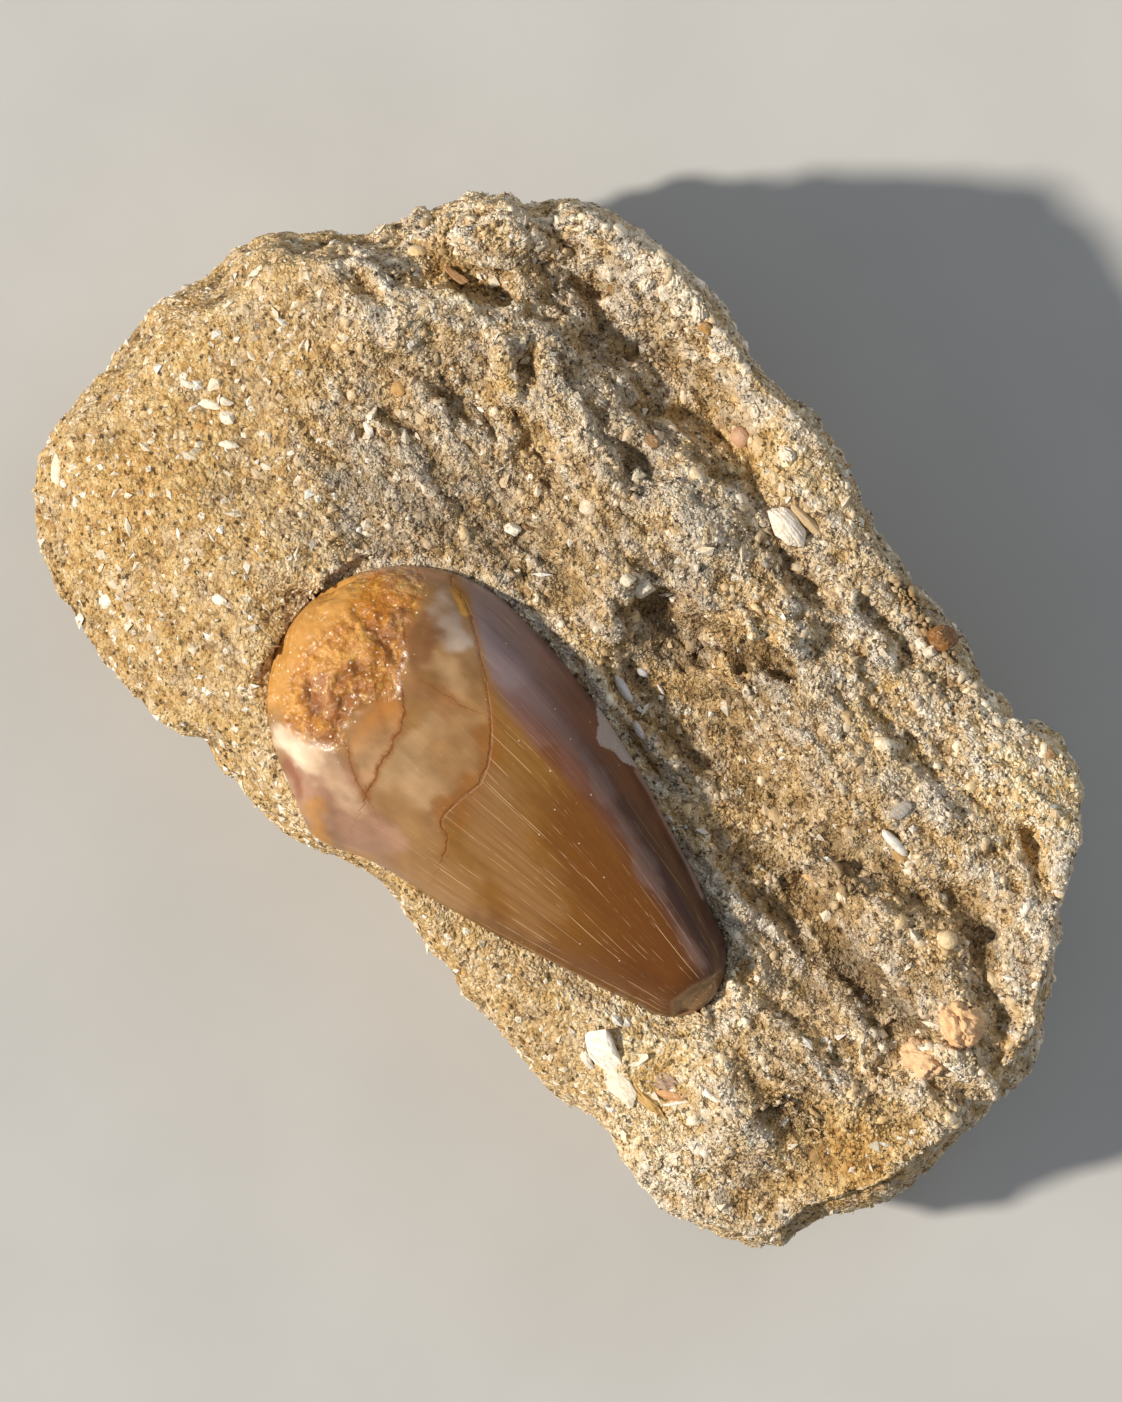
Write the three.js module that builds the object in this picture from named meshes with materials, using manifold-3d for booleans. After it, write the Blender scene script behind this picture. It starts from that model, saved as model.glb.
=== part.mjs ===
// A fossil mosasaur tooth lying in its block of phosphate sandstone, in millimetres, +Z up.
//
// The block lies on a flat patch broken across its underside. The tooth, a stout hooked crown, lies on its side
// in a socket in the upper face with its lower half buried. X runs along the block from the smooth lobe to the
// foot, Y across it from the tooth's side to the ragged back ridge. The origin is under the middle of the block,
// on the surface that it rests on.
import * as THREE from "three";
import { mergeVertices } from "three/addons/utils/BufferGeometryUtils.js";
import Module from "manifold-3d";

// ---------- driving dimensions ----------
const CROWN = { level: 25.6, crossfall: 0.05 }; // the upper face before its relief, and its rise with Y
const SOCKET_GAP = 0.3; // clearance between tooth and socket
const GRID = { along: 60, across: 34 }; // cells of the upper face; the underside has half as many each way
const SIDE_ROWS = { upper: 4, lower: 4 }; // rows of cells from each face to the girth
const TOOTH_CELLS = { along: 26, around: 28 };

// The block's outline seen from above, counter-clockwise from the foot's corner.
const OUTLINE = [
  [45.0, -24.6], [46.9, -19.3], [49.5, -13.9], [49.7, -6.1], [49.5, 1.5], [47.0, 7.3], [42.7, 13.5],
  [39.6, 19.4], [37.1, 22.1], [34.7, 23.4], [31.6, 23.9], [26.6, 22.3], [20.2, 23.5], [13.6, 24.5],
  [7.0, 25.5], [-1.6, 27.7], [-9.5, 28.2], [-16.6, 29.7], [-23.0, 29.5], [-29.4, 27.5], [-32.5, 24.0],
  [-36.4, 21.8], [-39.8, 15.3], [-43.8, 10.2], [-47.8, 5.1], [-48.2, 0.2], [-49.6, -4.9], [-48.8, -12.1],
  [-48.0, -19.1], [-46.5, -22.9], [-40.3, -27.3], [-32.1, -29.2], [-24.0, -29.7], [-19.6, -28.6],
  [-10.3, -29.0], [-0.9, -26.2], [6.6, -27.3], [14.2, -27.8], [22.2, -28.3], [27.7, -27.2],
  [35.3, -29.2], [38.3, -28.4],
];

// Where the corners of the faces' grids sit, as shares of the way round the outline.
const CORNERS = [0, 0.178, 0.449, 0.616, 1];

// How the edge turns over by bearing in degrees: the height of the widest girth, and the shares of the way out
// from the middle at which the upper face and the underside begin to turn.
const EDGE = [
  { bearing: -150, girth: 11.0, upperShare: 0.86, lowerShare: 0.74 },
  { bearing: -110, girth: 13.5, upperShare: 0.94, lowerShare: 0.76 },
  { bearing: -70, girth: 13.5, upperShare: 0.95, lowerShare: 0.78 },
  { bearing: -28, girth: 12.5, upperShare: 0.965, lowerShare: 0.78 },
  { bearing: 0, girth: 12.0, upperShare: 0.96, lowerShare: 0.78 },
  { bearing: 32, girth: 13.0, upperShare: 0.965, lowerShare: 0.78 },
  { bearing: 75, girth: 15.0, upperShare: 0.965, lowerShare: 0.74 },
  { bearing: 130, girth: 15.0, upperShare: 0.95, lowerShare: 0.74 },
  { bearing: 175, girth: 11.5, upperShare: 0.88, lowerShare: 0.72 },
];

// The flat patch that the block rests on, and how the underside climbs away from it.
const REST_PATCH = { halfLength: 30, halfWidth: 17, wobble: 0.12, climb: 5.0, power: 1.35 };

// Broad slopes of the upper face: past start, measured along the direction, it falls by slope for each millimetre.
const SLOPES = [
  { direction: [-0.75, -0.66], start: 28, slope: 0.5, softness: 3.0 }, // down the pale lobe
  { direction: [0.1, -0.995], start: 17, slope: 0.55, softness: 2.0 }, // below the tooth
  { direction: [0.25, 0.97], start: 25, slope: 0.35, softness: 1.5 }, // behind the back ridge
  { direction: [0.9, -0.44], start: 42, slope: 0.2, softness: 2.0 }, // down to the foot
];

// Relief: ridges and knobs (rise above 0), furrows and pits (rise below 0), each along a path or at a point.
const RELIEF = [];
const relief = (name, width, rise, ...path) => RELIEF.push({ name, width, rise, path });
relief("valley", 5.0, -3.6, [-24.6, 20.4], [-17.1, 21.9], [-9.0, 22.4]);
relief("valley tail", 3.2, -1.6, [-9.0, 22.4], [-1.5, 20.5], [7.8, 17.5]);
relief("back crease", 1.7, -1.4, [2.0, 21.6], [9.5, 20.7], [16.0, 19.6]);
relief("back ridge", 3.4, 1.6, [-30.6, 25.6], [-22.4, 27.0], [-14.1, 27.1], [-7.8, 25.0], [-2.7, 23.5], [8.4, 21.4]);
relief("grey shelf", 3.4, 2.2, [-5.2, 14.4], [-1.8, 14.8]);
relief("shelf pit", 1.9, -2.4, [-8.8, 12.9]);
relief("deep hollow", 2.3, -3.2, [0.8, 7.9], [5.2, 8.0], [10.6, 6.2]);
relief("hollow tail", 2.0, -1.6, [10.6, 6.2], [16.0, 5.4]);
relief("hollow knob", 3.1, 1.8, [-3.7, 4.2]);
relief("east knob", 2.0, 1.5, [5.3, 11.1]);
relief("far east knob", 1.7, 1.2, [8.7, 12.7]);
relief("hollow brow", 1.6, 1.0, [0.4, 10.2]);
relief("tooth trough", 4.6, -2.8, [3.0, 3.6], [8.0, 3.2], [14.5, 1.4], [22.5, -1.9], [29.5, -6.0]);
relief("tan ridge", 6.0, 1.5, [7.2, 10.0], [15.9, 7.9], [22.5, 7.3], [28.0, 8.5]);
relief("grey furrow", 1.9, -1.1, [23.7, 4.3], [28.4, 5.0], [35.0, 6.3], [39.2, 5.3], [44.0, 3.3], [47.3, 0.6]);
relief("arch lip", 1.5, 1.0, [22.4, -2.7], [23.6, 0.2], [28.6, 2.5], [33.4, 3.1]);
relief("arch plateau", 4.0, 0.8, [30.2, -0.1]);
relief("dark slope", 1.8, -1.9, [25.2, -0.6], [29.8, -2.1], [33.1, -2.5], [37.1, -3.6], [39.3, -4.8]);
relief("peach lumps", 2.7, 1.4, [41.4, 1.5], [42.7, -2.6]);
relief("east rim", 2.8, 1.1, [41.2, 10.3], [46.0, 6.7], [48.4, 0.9]);
relief("lump crease", 1.7, -2.6, [30.7, 16.6], [35.6, 14.4], [38.8, 13.3], [43.2, 12.6]);
relief("east lump", 3.3, 2.2, [31.6, 20.5], [36.0, 19.3], [39.5, 15.8]);
relief("foot hollow", 1.9, -2.2, [37.6, -20.1], [39.2, -17.3], [41.8, -16.9]);
relief("corner crease", 1.6, -1.6, [38.8, -6.3], [43.9, -4.4], [49.1, -2.5]);
relief("foot rib", 2.2, 1.2, [31.4, -16.2], [34.9, -17.6], [37.3, -21.2]);
relief("shell swell", 2.6, 0.8, [24.9, -22.1]);
relief("foot edge", 1.8, 0.8, [37.7, -27.1], [43.6, -23.3], [47.2, -14.9], [48.4, -8.3]);
relief("crown pit", 1.9, -1.9, [-30.6, 24.1], [-27.6, 23.3], [-23.9, 22.5]);
relief("west knob", 3.6, 1.7, [-33.9, 19.9]);
relief("north knob", 2.6, 1.2, [-26.7, 27.0]);
relief("crown groove", 1.9, -1.8, [-39.8, 13.2], [-35.8, 14.9], [-32.0, 16.2], [-28.8, 17.2]);
relief("crown crest", 3.4, 1.5, [-34.0, 7.3], [-31.1, 13.5], [-27.2, 15.5], [-22.4, 16.2]);
relief("shoulder crest", 3.2, 1.2, [-20.1, 15.1], [-14.0, 12.8], [-8.6, 9.8], [-4.5, 7.3]);
relief("shoulder dip", 2.6, -2.0, [-26.5, 8.3], [-22.8, 9.8], [-18.6, 11.2]);
relief("lobe crease", 2.4, -0.5, [-42.4, -1.1], [-35.9, -6.6], [-29.4, -13.4], [-25.1, -19.3]);
relief("lobe crest", 3.0, 1.0, [-46.6, 5.3], [-41.0, 8.4], [-35.5, 9.4]);

// Weathering: how far the whole skin wanders in and out, and the size of its largest lumps.
const WEATHERING = { depth: 1.2, lump: 15, octaves: 3, stretch: 1.6 };
// Breaks in the sides: how deep they go, their size, and how far from the girth the sides wear in full. The girth
// itself keeps to the outline.
const BREAKS = { depth: 1.8, size: 11, clear: 5 };

// The tooth, in its own frame: s from the broken base to the tip, w across, h up from the plane of its two
// cutting edges.
const TOOTH = {
  length: 47.8,
  place: [-21.45, -17.45, 22.6], // where s = w = h = 0 sits in the block's frame
  heading: 4.57, // degrees from X
  lean: 11, // degrees that the plane of the edges tips towards the block's near side
  pitch: 1.2, // degrees that the tip is lower than the base
  upperHeight: 7.2,
  lowerHeight: 6.4,
  tipThinness: 0.5, // share of the height lost from base to tip
  baseRound: 13, // length of the rounded base
  tipRound: 3.8, // length of the blunt tip
  bow: 2.3, // how far the tip hooks to the straight side
  middle: 3.0, // how far the base's middle line is from w = 0
};
// Half of the tooth's width by distance from the base, before its ends are rounded.
const HALF_WIDTH = [
  [0, 12.3], [13, 12.3], [17.5, 12.0], [21, 11.5], [25, 10.85], [30, 9.55], [35, 7.9], [40, 6.3], [44, 4.8], [48, 4.2],
];
// The lip of the root that stands out from the tooth's straight side.
const ROOT_LIP = { at: 13.6, reach: 3.4, bulge: 1.5 };

// ---------- shared mathematics ----------
const clamp01 = (x) => Math.min(1, Math.max(0, x));
const ease = (x) => clamp01(x) ** 2 * (3 - 2 * clamp01(x));
const hump = (distance, width) => Math.exp(-((distance / width) ** 2));

// A repeatable number from 0 to 1 for each corner of a cubic lattice.
function latticeValue(i, j, k) {
  const x = Math.sin(i * 12.9898 + j * 78.233 + k * 37.719) * 43758.5453;
  return x - Math.floor(x);
}

// Smooth noise from -1 to 1: the lattice values blended across each cube.
function smoothNoise(x, y, z) {
  const [i, j, k] = [Math.floor(x), Math.floor(y), Math.floor(z)];
  const [u, v, w] = [ease(x - i), ease(y - j), ease(z - k)];
  const along = (dj, dk) =>
    latticeValue(i, j + dj, k + dk) * (1 - u) + latticeValue(i + 1, j + dj, k + dk) * u;
  const sheet = (dk) => along(0, dk) * (1 - v) + along(1, dk) * v;
  return 2 * (sheet(0) * (1 - w) + sheet(1) * w) - 1;
}

// Octaves of smooth noise, each half the size and half the height of the last.
function layeredNoise(x, y, z, size, octaves) {
  let sum = 0;
  for (let o = 0; o < octaves; o++) {
    const scale = 2 ** o / size;
    sum += 0.5 ** o * smoothNoise(x * scale + 17.3 * o, y * scale, z * scale);
  }
  return sum;
}

// Distance from a point to a path of straight stretches, or to the path's only point.
function pathDistance(x, y, path) {
  if (path.length === 1) return Math.hypot(x - path[0][0], y - path[0][1]);
  let nearest = Infinity;
  for (let n = 1; n < path.length; n++) {
    const [[ax, ay], [bx, by]] = [path[n - 1], path[n]];
    const [dx, dy] = [bx - ax, by - ay];
    const t = clamp01(((x - ax) * dx + (y - ay) * dy) / (dx * dx + dy * dy));
    nearest = Math.min(nearest, Math.hypot(x - ax - t * dx, y - ay - t * dy));
  }
  return nearest;
}

// A value read from a table of [position, value], in a straight line between neighbours.
function fromTable(table, position) {
  const n = table.findIndex(([at]) => at >= position);
  if (n <= 0) return table[n === 0 ? 0 : table.length - 1][1];
  const [[a, from], [b, to]] = [table[n - 1], table[n]];
  return from + (to - from) * ((position - a) / (b - a));
}

// The edge's girth and shares at a bearing, eased between the stated bearings.
function edgeAt(bearing) {
  const n = EDGE.findIndex((e) => e.bearing > bearing);
  const next = n < 0 ? EDGE[0] : EDGE[n];
  const last = EDGE[(n < 0 ? EDGE.length : n || EDGE.length) - 1];
  const span = (next.bearing - last.bearing + 360) % 360;
  const t = ease(((bearing - last.bearing + 360) % 360) / span);
  const mix = (key) => last[key] + (next[key] - last[key]) * t;
  return { girth: mix("girth"), upperShare: mix("upperShare"), lowerShare: mix("lowerShare") };
}

// ---------- the tooth ----------
// The tooth's section at distance s from the base: its middle line, half width and heights. grow swells it.
function toothSection(s, grow) {
  const fromBase = clamp01(s / TOOTH.baseRound);
  const fromTip = clamp01((TOOTH.length - s) / TOOTH.tipRound);
  const ends = Math.sqrt(1 - (1 - fromBase) ** 2) * Math.sqrt(1 - (1 - fromTip) ** 2);
  const share = s / TOOTH.length;
  const thickness = (1 - TOOTH.tipThinness * share ** 2.2) * ends ** 0.85;
  return {
    middle: TOOTH.middle - TOOTH.bow * share ** 2.6,
    half: fromTable(HALF_WIDTH, s) * ends + grow,
    lip: ROOT_LIP.bulge * hump(s - ROOT_LIP.at, ROOT_LIP.reach),
    upper: TOOTH.upperHeight * thickness + grow,
    lower: TOOTH.lowerHeight * thickness + grow,
    crest: 0.15 + 0.35 * ease(s / 22), // where across the width the upper side is highest
  };
}

// Height of the tooth's skin at share v of its half width, from -1 at the straight edge to 1 at the bowed one.
function toothHeight(section, v, isUpper) {
  if (!isUpper) return -section.lower * Math.sqrt(Math.max(0, 1 - v * v));
  const reach = v > section.crest ? 1 - section.crest : 1 + section.crest;
  const share = Math.min(1, Math.abs(v - section.crest) / reach);
  return section.upper * (1 - share ** 2.2) ** 0.6;
}

// The tooth as a closed loft: rings round the crown that draw in to a point at each end.
function toothGeometry(grow) {
  const { along, around } = TOOTH_CELLS;
  const points = [];
  for (let row = 0; row <= along; row++) {
    const isEnd = row === 0 || row === along;
    const s = (TOOTH.length * (1 - Math.cos((Math.PI * row) / along))) / 2;
    const section = toothSection(s, isEnd ? 0 : grow);
    const swell = grow * ((2 * s) / TOOTH.length - 1);
    for (let n = 0; n < around; n++) {
      const angle = (2 * Math.PI * n) / around;
      const v = Math.cos(angle);
      const lip = v < 0 ? section.lip * v * v : 0;
      points.push([s + swell, section.middle + section.half * v - lip, toothHeight(section, v, angle < Math.PI)]);
    }
  }
  const index = [];
  for (let row = 0; row < along; row++) {
    for (let n = 0; n < around; n++) {
      const [a, b] = [row * around + n, row * around + ((n + 1) % around)];
      index.push(a, b, a + around, b, b + around, a + around);
    }
  }
  return closedGeometry(points, index);
}

// Puts an object drawn in the tooth's frame where the tooth lies.
function layTooth(object) {
  object.rotation.order = "ZYX";
  object.rotation.set(...[TOOTH.lean, TOOTH.pitch, TOOTH.heading].map(THREE.MathUtils.degToRad));
  object.position.set(...TOOTH.place);
  object.updateMatrixWorld(true);
  return object;
}

const toBlock = layTooth(new THREE.Object3D()).matrixWorld;
const toTooth = toBlock.clone().invert();

// How far outside the tooth's outline a point of the plan lies, and the level of the cutting edges' plane there.
function toothSurround(x, y) {
  const up = new THREE.Vector3(0, 0, 1).transformDirection(toBlock);
  const [px, py, pz] = TOOTH.place;
  const level = pz - (up.x * (x - px) + up.y * (y - py)) / up.z;
  const local = new THREE.Vector3(x, y, level).applyMatrix4(toTooth);
  const section = toothSection(THREE.MathUtils.clamp(local.x, 0, TOOTH.length), 0);
  const beyondEnd = Math.max(0, -local.x, local.x - TOOTH.length);
  const beyondSide = Math.abs(local.y - section.middle) - section.half;
  return { level, outside: beyondEnd > 0 ? Math.hypot(beyondEnd, Math.max(0, beyondSide)) : beyondSide };
}

// ---------- the block ----------
// Height of the upper face over a point of the plan. It comes up to just under the cutting edges beside the tooth.
const HUG = { below: 0.2, reach: 2.2 };

function upperFace(x, y) {
  let height = CROWN.level + CROWN.crossfall * y;
  for (const { direction, start, slope, softness } of SLOPES) {
    const past = (x * direction[0] + y * direction[1] - start) / softness;
    height -= slope * softness * Math.log1p(Math.exp(Math.min(past, 30)));
  }
  for (const { path, width, rise } of RELIEF) height += rise * hump(pathDistance(x, y, path), width);
  const { level, outside } = toothSurround(x, y);
  return height + (level - HUG.below - height) * hump(Math.max(0, outside), HUG.reach);
}

// How far out of the flat patch a point of the plan lies, as a share of the patch's size.
function pastRestPatch(x, y) {
  const bearing = Math.atan2(y, x);
  const ragged = 1 + REST_PATCH.wobble * (0.6 * Math.sin(3 * bearing + 0.6) + 0.4 * Math.sin(5 * bearing + 2.1));
  return Math.hypot(x / REST_PATCH.halfLength, y / REST_PATCH.halfWidth) / ragged - 1;
}

const underFace = (x, y) => REST_PATCH.climb * Math.max(0, pastRestPatch(x, y)) ** REST_PATCH.power;

const outlineCurve = new THREE.CatmullRomCurve3(
  OUTLINE.map(([x, y]) => new THREE.Vector3(x, y, 0)),
  true,
  "catmullrom",
);
outlineCurve.arcLengthDivisions = 1000;

// A spoke of the plan: where it meets the outline, and how the edge turns over there.
function spoke(turn) {
  const { x, y } = outlineCurve.getPointAt(((turn % 1) + 1) % 1);
  return { x, y, ...edgeAt((Math.atan2(y, x) * 180) / Math.PI) };
}

// The spokes of a grid's rim, counter-clockwise from the foot's corner.
function rimSpokes(along, across) {
  return [across, along, across, along].flatMap((cells, side) => {
    const [from, to] = [CORNERS[side], CORNERS[side + 1]];
    return Array.from({ length: cells }, (_, k) => spoke(from + ((to - from) * k) / cells));
  });
}

// One face of the block: a grid stretched between its four borders. Each point is the blend of the borders ahead
// of and behind it and of those beside it, less the blend of the four corners.
function facePoints(along, across, share, height) {
  const rim = rimSpokes(along, across).map((end) => [end.x * end[share], end.y * end[share]]);
  const at = (n) => rim[(n + rim.length) % rim.length];
  const points = [];
  for (let j = 0; j <= across; j++) {
    for (let i = 0; i <= along; i++) {
      const [u, v] = [i / along, j / across];
      const parts = [
        [at(i - along), 1 - v],
        [at(across + along - i), v],
        [at(2 * across + along - j), 1 - u],
        [at(j), u],
        [at(-along), -(1 - u) * (1 - v)],
        [at(0), -u * (1 - v)],
        [at(across + along), -(1 - u) * v],
        [at(across), -u * v],
      ];
      const [x, y] = [0, 1].map((axis) => parts.reduce((sum, [p, weight]) => sum + p[axis] * weight, 0));
      points.push([x, y, height(x, y)]);
    }
  }
  return points;
}

// Indices of a face's border, counter-clockwise seen from above, from the corner (along, 0).
function faceBorder(along, across, start) {
  const at = (i, j) => start + j * (along + 1) + i;
  const count = (n, place) => Array.from({ length: n }, (_, k) => place(k));
  return [
    ...count(across, (k) => at(along, k)),
    ...count(along, (k) => at(along - k, across)),
    ...count(across, (k) => at(0, across - k)),
    ...count(along, (k) => at(k, 0)),
  ];
}

// Triangles of a face, each cell split along its shorter diagonal. An upper face looks up, the underside down.
function faceTriangles(points, along, across, start, isUpper) {
  const index = [];
  const apart = (m, n) => Math.hypot(...points[m].map((c, axis) => c - points[n][axis]));
  for (let j = 0; j < across; j++) {
    for (let i = 0; i < along; i++) {
      const a = start + j * (along + 1) + i;
      const [b, c, d] = [a + 1, a + along + 1, a + along + 2];
      const pair = apart(a, d) < apart(b, c) ? [a, b, d, a, d, c] : [a, b, c, b, d, c];
      index.push(...(isUpper ? pair : pair.reverse()));
    }
  }
  return index;
}

// Triangles between two rows of the side. Where the lower row has half as many points, each of its steps meets two.
function rowTriangles(above, below) {
  const index = [];
  const halves = above.length / below.length;
  for (let n = 0; n < below.length; n++) {
    const m = (n + 1) % below.length;
    const first = above[halves * n];
    const last = above[halves * m];
    const middle = halves === 2 ? above[2 * n + 1] : first;
    if (halves === 2) index.push(first, below[n], middle);
    index.push(middle, below[n], below[m], middle, below[m], last);
  }
  return index;
}

// The block's skin: the upper face, rows that turn over its edge to the girth and back under, and the underside.
function blockGeometry() {
  const { along, across } = GRID;
  const points = facePoints(along, across, "upperShare", upperFace);
  const underStart = points.length;
  points.push(...facePoints(along / 2, across / 2, "lowerShare", underFace));

  const rows = [faceBorder(along, across, 0)];
  const sideRow = (spokes, place) => rows.push(spokes.map((end) => points.push(place(end)) - 1));
  const upperSpokes = rimSpokes(along, across);
  const lowerSpokes = rimSpokes(along / 2, across / 2);
  for (let row = 1; row <= SIDE_ROWS.upper; row++) {
    const angle = (Math.PI / 2) * (row / SIDE_ROWS.upper);
    sideRow(upperSpokes, ({ x, y, girth, upperShare }) => {
      const out = upperShare + (1 - upperShare) * Math.sin(angle);
      return [x * out, y * out, girth + (upperFace(x * out, y * out) - girth) * Math.cos(angle)];
    });
  }
  for (let row = 1; row < SIDE_ROWS.lower; row++) {
    const angle = (Math.PI / 2) * (row / SIDE_ROWS.lower);
    sideRow(lowerSpokes, ({ x, y, girth, lowerShare }) => {
      const out = lowerShare + (1 - lowerShare) * Math.cos(angle);
      const floor = underFace(x * out, y * out);
      return [x * out, y * out, floor + (girth - floor) * (1 - Math.sin(angle))];
    });
  }
  rows.push(faceBorder(along / 2, across / 2, underStart));

  const index = [
    ...faceTriangles(points, along, across, 0, true),
    ...faceTriangles(points, along / 2, across / 2, underStart, false),
    ...rows.slice(1).flatMap((row, n) => rowTriangles(rows[n], row)),
  ];
  return weather(closedGeometry(points, index));
}

// How far the skin at a point moves out (above 0) or in (below 0). The flat patch and the rock beside the tooth stay.
function wear(x, y, z, steepness) {
  const isUpper = z > CROWN.level / 2;
  const calm = isUpper ? ease((toothSurround(x, y).outside - 0.5) / 4) : ease(pastRestPatch(x, y) / 0.35);
  const lumps = layeredNoise(x / WEATHERING.stretch, y, z, WEATHERING.lump, WEATHERING.octaves);
  const fromGirth = Math.abs(z - edgeAt((Math.atan2(y, x) * 180) / Math.PI).girth);
  const clear = ease(fromGirth / BREAKS.clear);
  const breaks = steepness * clear * (0.5 + layeredNoise(x + 31, y, z * 1.5, BREAKS.size, 2) / 2);
  return calm * (WEATHERING.depth * lumps * (1 - steepness * (1 - clear)) - BREAKS.depth * breaks);
}

// Moves the skin in and out along its normals.
function weather(geometry) {
  geometry.computeVertexNormals();
  const position = geometry.getAttribute("position");
  const normal = geometry.getAttribute("normal");
  for (let n = 0; n < position.count; n++) {
    const [x, y, z] = [position.getX(n), position.getY(n), position.getZ(n)];
    const steepness = ease((0.75 - Math.abs(normal.getZ(n))) / 0.4);
    const shift = wear(x, y, z, steepness);
    const moved = [x + normal.getX(n) * shift, y + normal.getY(n) * shift, z + normal.getZ(n) * shift];
    position.setXYZ(n, moved[0], moved[1], Math.max(0, moved[2]));
  }
  geometry.deleteAttribute("normal");
  return geometry;
}

// ---------- solids ----------
function closedGeometry(points, index) {
  const geometry = new THREE.BufferGeometry();
  geometry.setAttribute("position", new THREE.Float32BufferAttribute(points.flat(), 3));
  geometry.setIndex(index);
  return mergeVertices(geometry, 1e-4);
}

const wasm = await Module();
wasm.setup();

// A closed geometry as a solid, in the place that the matrix gives. Triangles drawn in to a line are left out.
function solidOf(geometry, matrix = new THREE.Matrix4()) {
  const placed = mergeVertices(geometry.clone().applyMatrix4(matrix), 1e-4);
  const kept = [];
  for (let n = 0; n < placed.index.count; n += 3) {
    const [a, b, c] = placed.index.array.slice(n, n + 3);
    if (a !== b && b !== c && c !== a) kept.push(a, b, c);
  }
  const vertProperties = placed.getAttribute("position").array;
  return new wasm.Manifold(new wasm.Mesh({ numProp: 3, vertProperties, triVerts: new Uint32Array(kept) }));
}

function geometryOf(solid) {
  const { vertProperties, triVerts } = solid.getMesh();
  const geometry = new THREE.BufferGeometry();
  geometry.setAttribute("position", new THREE.BufferAttribute(new Float32Array(vertProperties), 3));
  geometry.setIndex(new THREE.BufferAttribute(new Uint32Array(triVerts), 1));
  return geometry;
}

// The block with the tooth's socket cut in it; crumbs that the cut leaves loose are dropped.
function blockWithSocket() {
  const cut = solidOf(blockGeometry()).subtract(solidOf(toothGeometry(SOCKET_GAP), toBlock));
  return geometryOf(cut.decompose().reduce((a, b) => (b.volume() > a.volume() ? b : a)));
}

const sandstone = new THREE.MeshStandardMaterial({ color: 0xb9a072, roughness: 0.95, metalness: 0 });
const enamel = new THREE.MeshStandardMaterial({ color: 0x9a6234, roughness: 0.3, metalness: 0 });

const fossil = new THREE.Group();
const block = new THREE.Mesh(blockWithSocket(), sandstone);
block.name = "matrix";
const tooth = layTooth(new THREE.Mesh(toothGeometry(0), enamel));
tooth.name = "tooth";
fossil.add(block, tooth);

export default fossil;
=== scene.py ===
# %% [markdown]
# # A fossil mosasaur tooth in its block of sandstone
#
# The real thing is one loose piece of phosphate sandstone, about as long as a hand is wide, with a hooked tooth
# lying half buried in its upper face. This lesson builds it in three layers: the block's skin, the tooth, and the
# sand, shell bits and pebbles that stand out of the skin. All shapes are worked out in millimetres as numpy arrays
# and only become metres when they are put into a mesh.

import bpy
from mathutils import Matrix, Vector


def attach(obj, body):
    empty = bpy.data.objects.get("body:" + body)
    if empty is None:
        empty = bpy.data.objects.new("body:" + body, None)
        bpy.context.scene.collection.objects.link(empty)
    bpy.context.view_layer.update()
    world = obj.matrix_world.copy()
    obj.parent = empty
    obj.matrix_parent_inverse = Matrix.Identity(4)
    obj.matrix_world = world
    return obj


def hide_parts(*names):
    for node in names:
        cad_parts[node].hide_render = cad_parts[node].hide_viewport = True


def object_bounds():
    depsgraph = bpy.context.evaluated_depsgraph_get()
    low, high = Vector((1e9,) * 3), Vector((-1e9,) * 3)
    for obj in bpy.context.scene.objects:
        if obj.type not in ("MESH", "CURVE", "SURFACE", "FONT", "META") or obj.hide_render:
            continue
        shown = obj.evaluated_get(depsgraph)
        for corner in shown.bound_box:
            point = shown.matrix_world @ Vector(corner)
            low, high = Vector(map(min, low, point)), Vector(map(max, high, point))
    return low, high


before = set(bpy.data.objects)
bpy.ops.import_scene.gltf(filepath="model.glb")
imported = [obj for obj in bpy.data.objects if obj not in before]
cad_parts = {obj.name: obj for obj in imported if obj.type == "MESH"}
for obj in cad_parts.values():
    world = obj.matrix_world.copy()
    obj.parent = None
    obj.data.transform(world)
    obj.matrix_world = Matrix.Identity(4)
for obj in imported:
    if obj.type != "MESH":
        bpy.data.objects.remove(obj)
cad_box = [list(map(float, corner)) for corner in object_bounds()]

import math

import bpy
import numpy as np
from mathutils import Vector
from mathutils.bvhtree import BVHTree  # finds where a line meets a mesh

MM = 0.001  # metres in a millimetre
BOX_LOW, BOX_HIGH = np.array(cad_box[0]) / MM, np.array(cad_box[1]) / MM
print("the block may fill", np.round(BOX_HIGH - BOX_LOW, 1), "mm")

# %% [markdown]
# ## Camera
#
# The block lies on its back and the camera looks straight down on it, turned so that the block runs from the upper
# left to the lower right. A long lens from far off keeps the outline nearly free of perspective.

# %% Camera
FRAME_HEIGHT = 119.2  # millimetres of the block's mid level that the picture's height shows
LENS, SENSOR = 200.0, 36.0
NEAREST, FARTHEST = 0.01, 20.0  # metres between which the camera sees
AIM = np.array([-0.775, -4.105, 20.0])  # the point in the middle of the picture
VIEW_TURN = math.radians(45)


def add_object(name, data):
    """Puts an object that shows the data into the scene."""
    made = bpy.data.objects.new(name, data)
    bpy.context.collection.objects.link(made)
    return made


aim_back = FRAME_HEIGHT * LENS / SENSOR
camera = add_object("camera", bpy.data.cameras.new("camera"))
camera.data.lens, camera.data.sensor_width = LENS, SENSOR
camera.data.clip_start, camera.data.clip_end = NEAREST, FARTHEST
camera.location = (AIM + (0, 0, aim_back)) * MM
camera.rotation_euler = (0, 0, VIEW_TURN)
bpy.context.scene.camera = camera
bpy.context.scene.view_settings.view_transform = "Standard"
print("camera", round(aim_back), "mm above the middle of the block")

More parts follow.
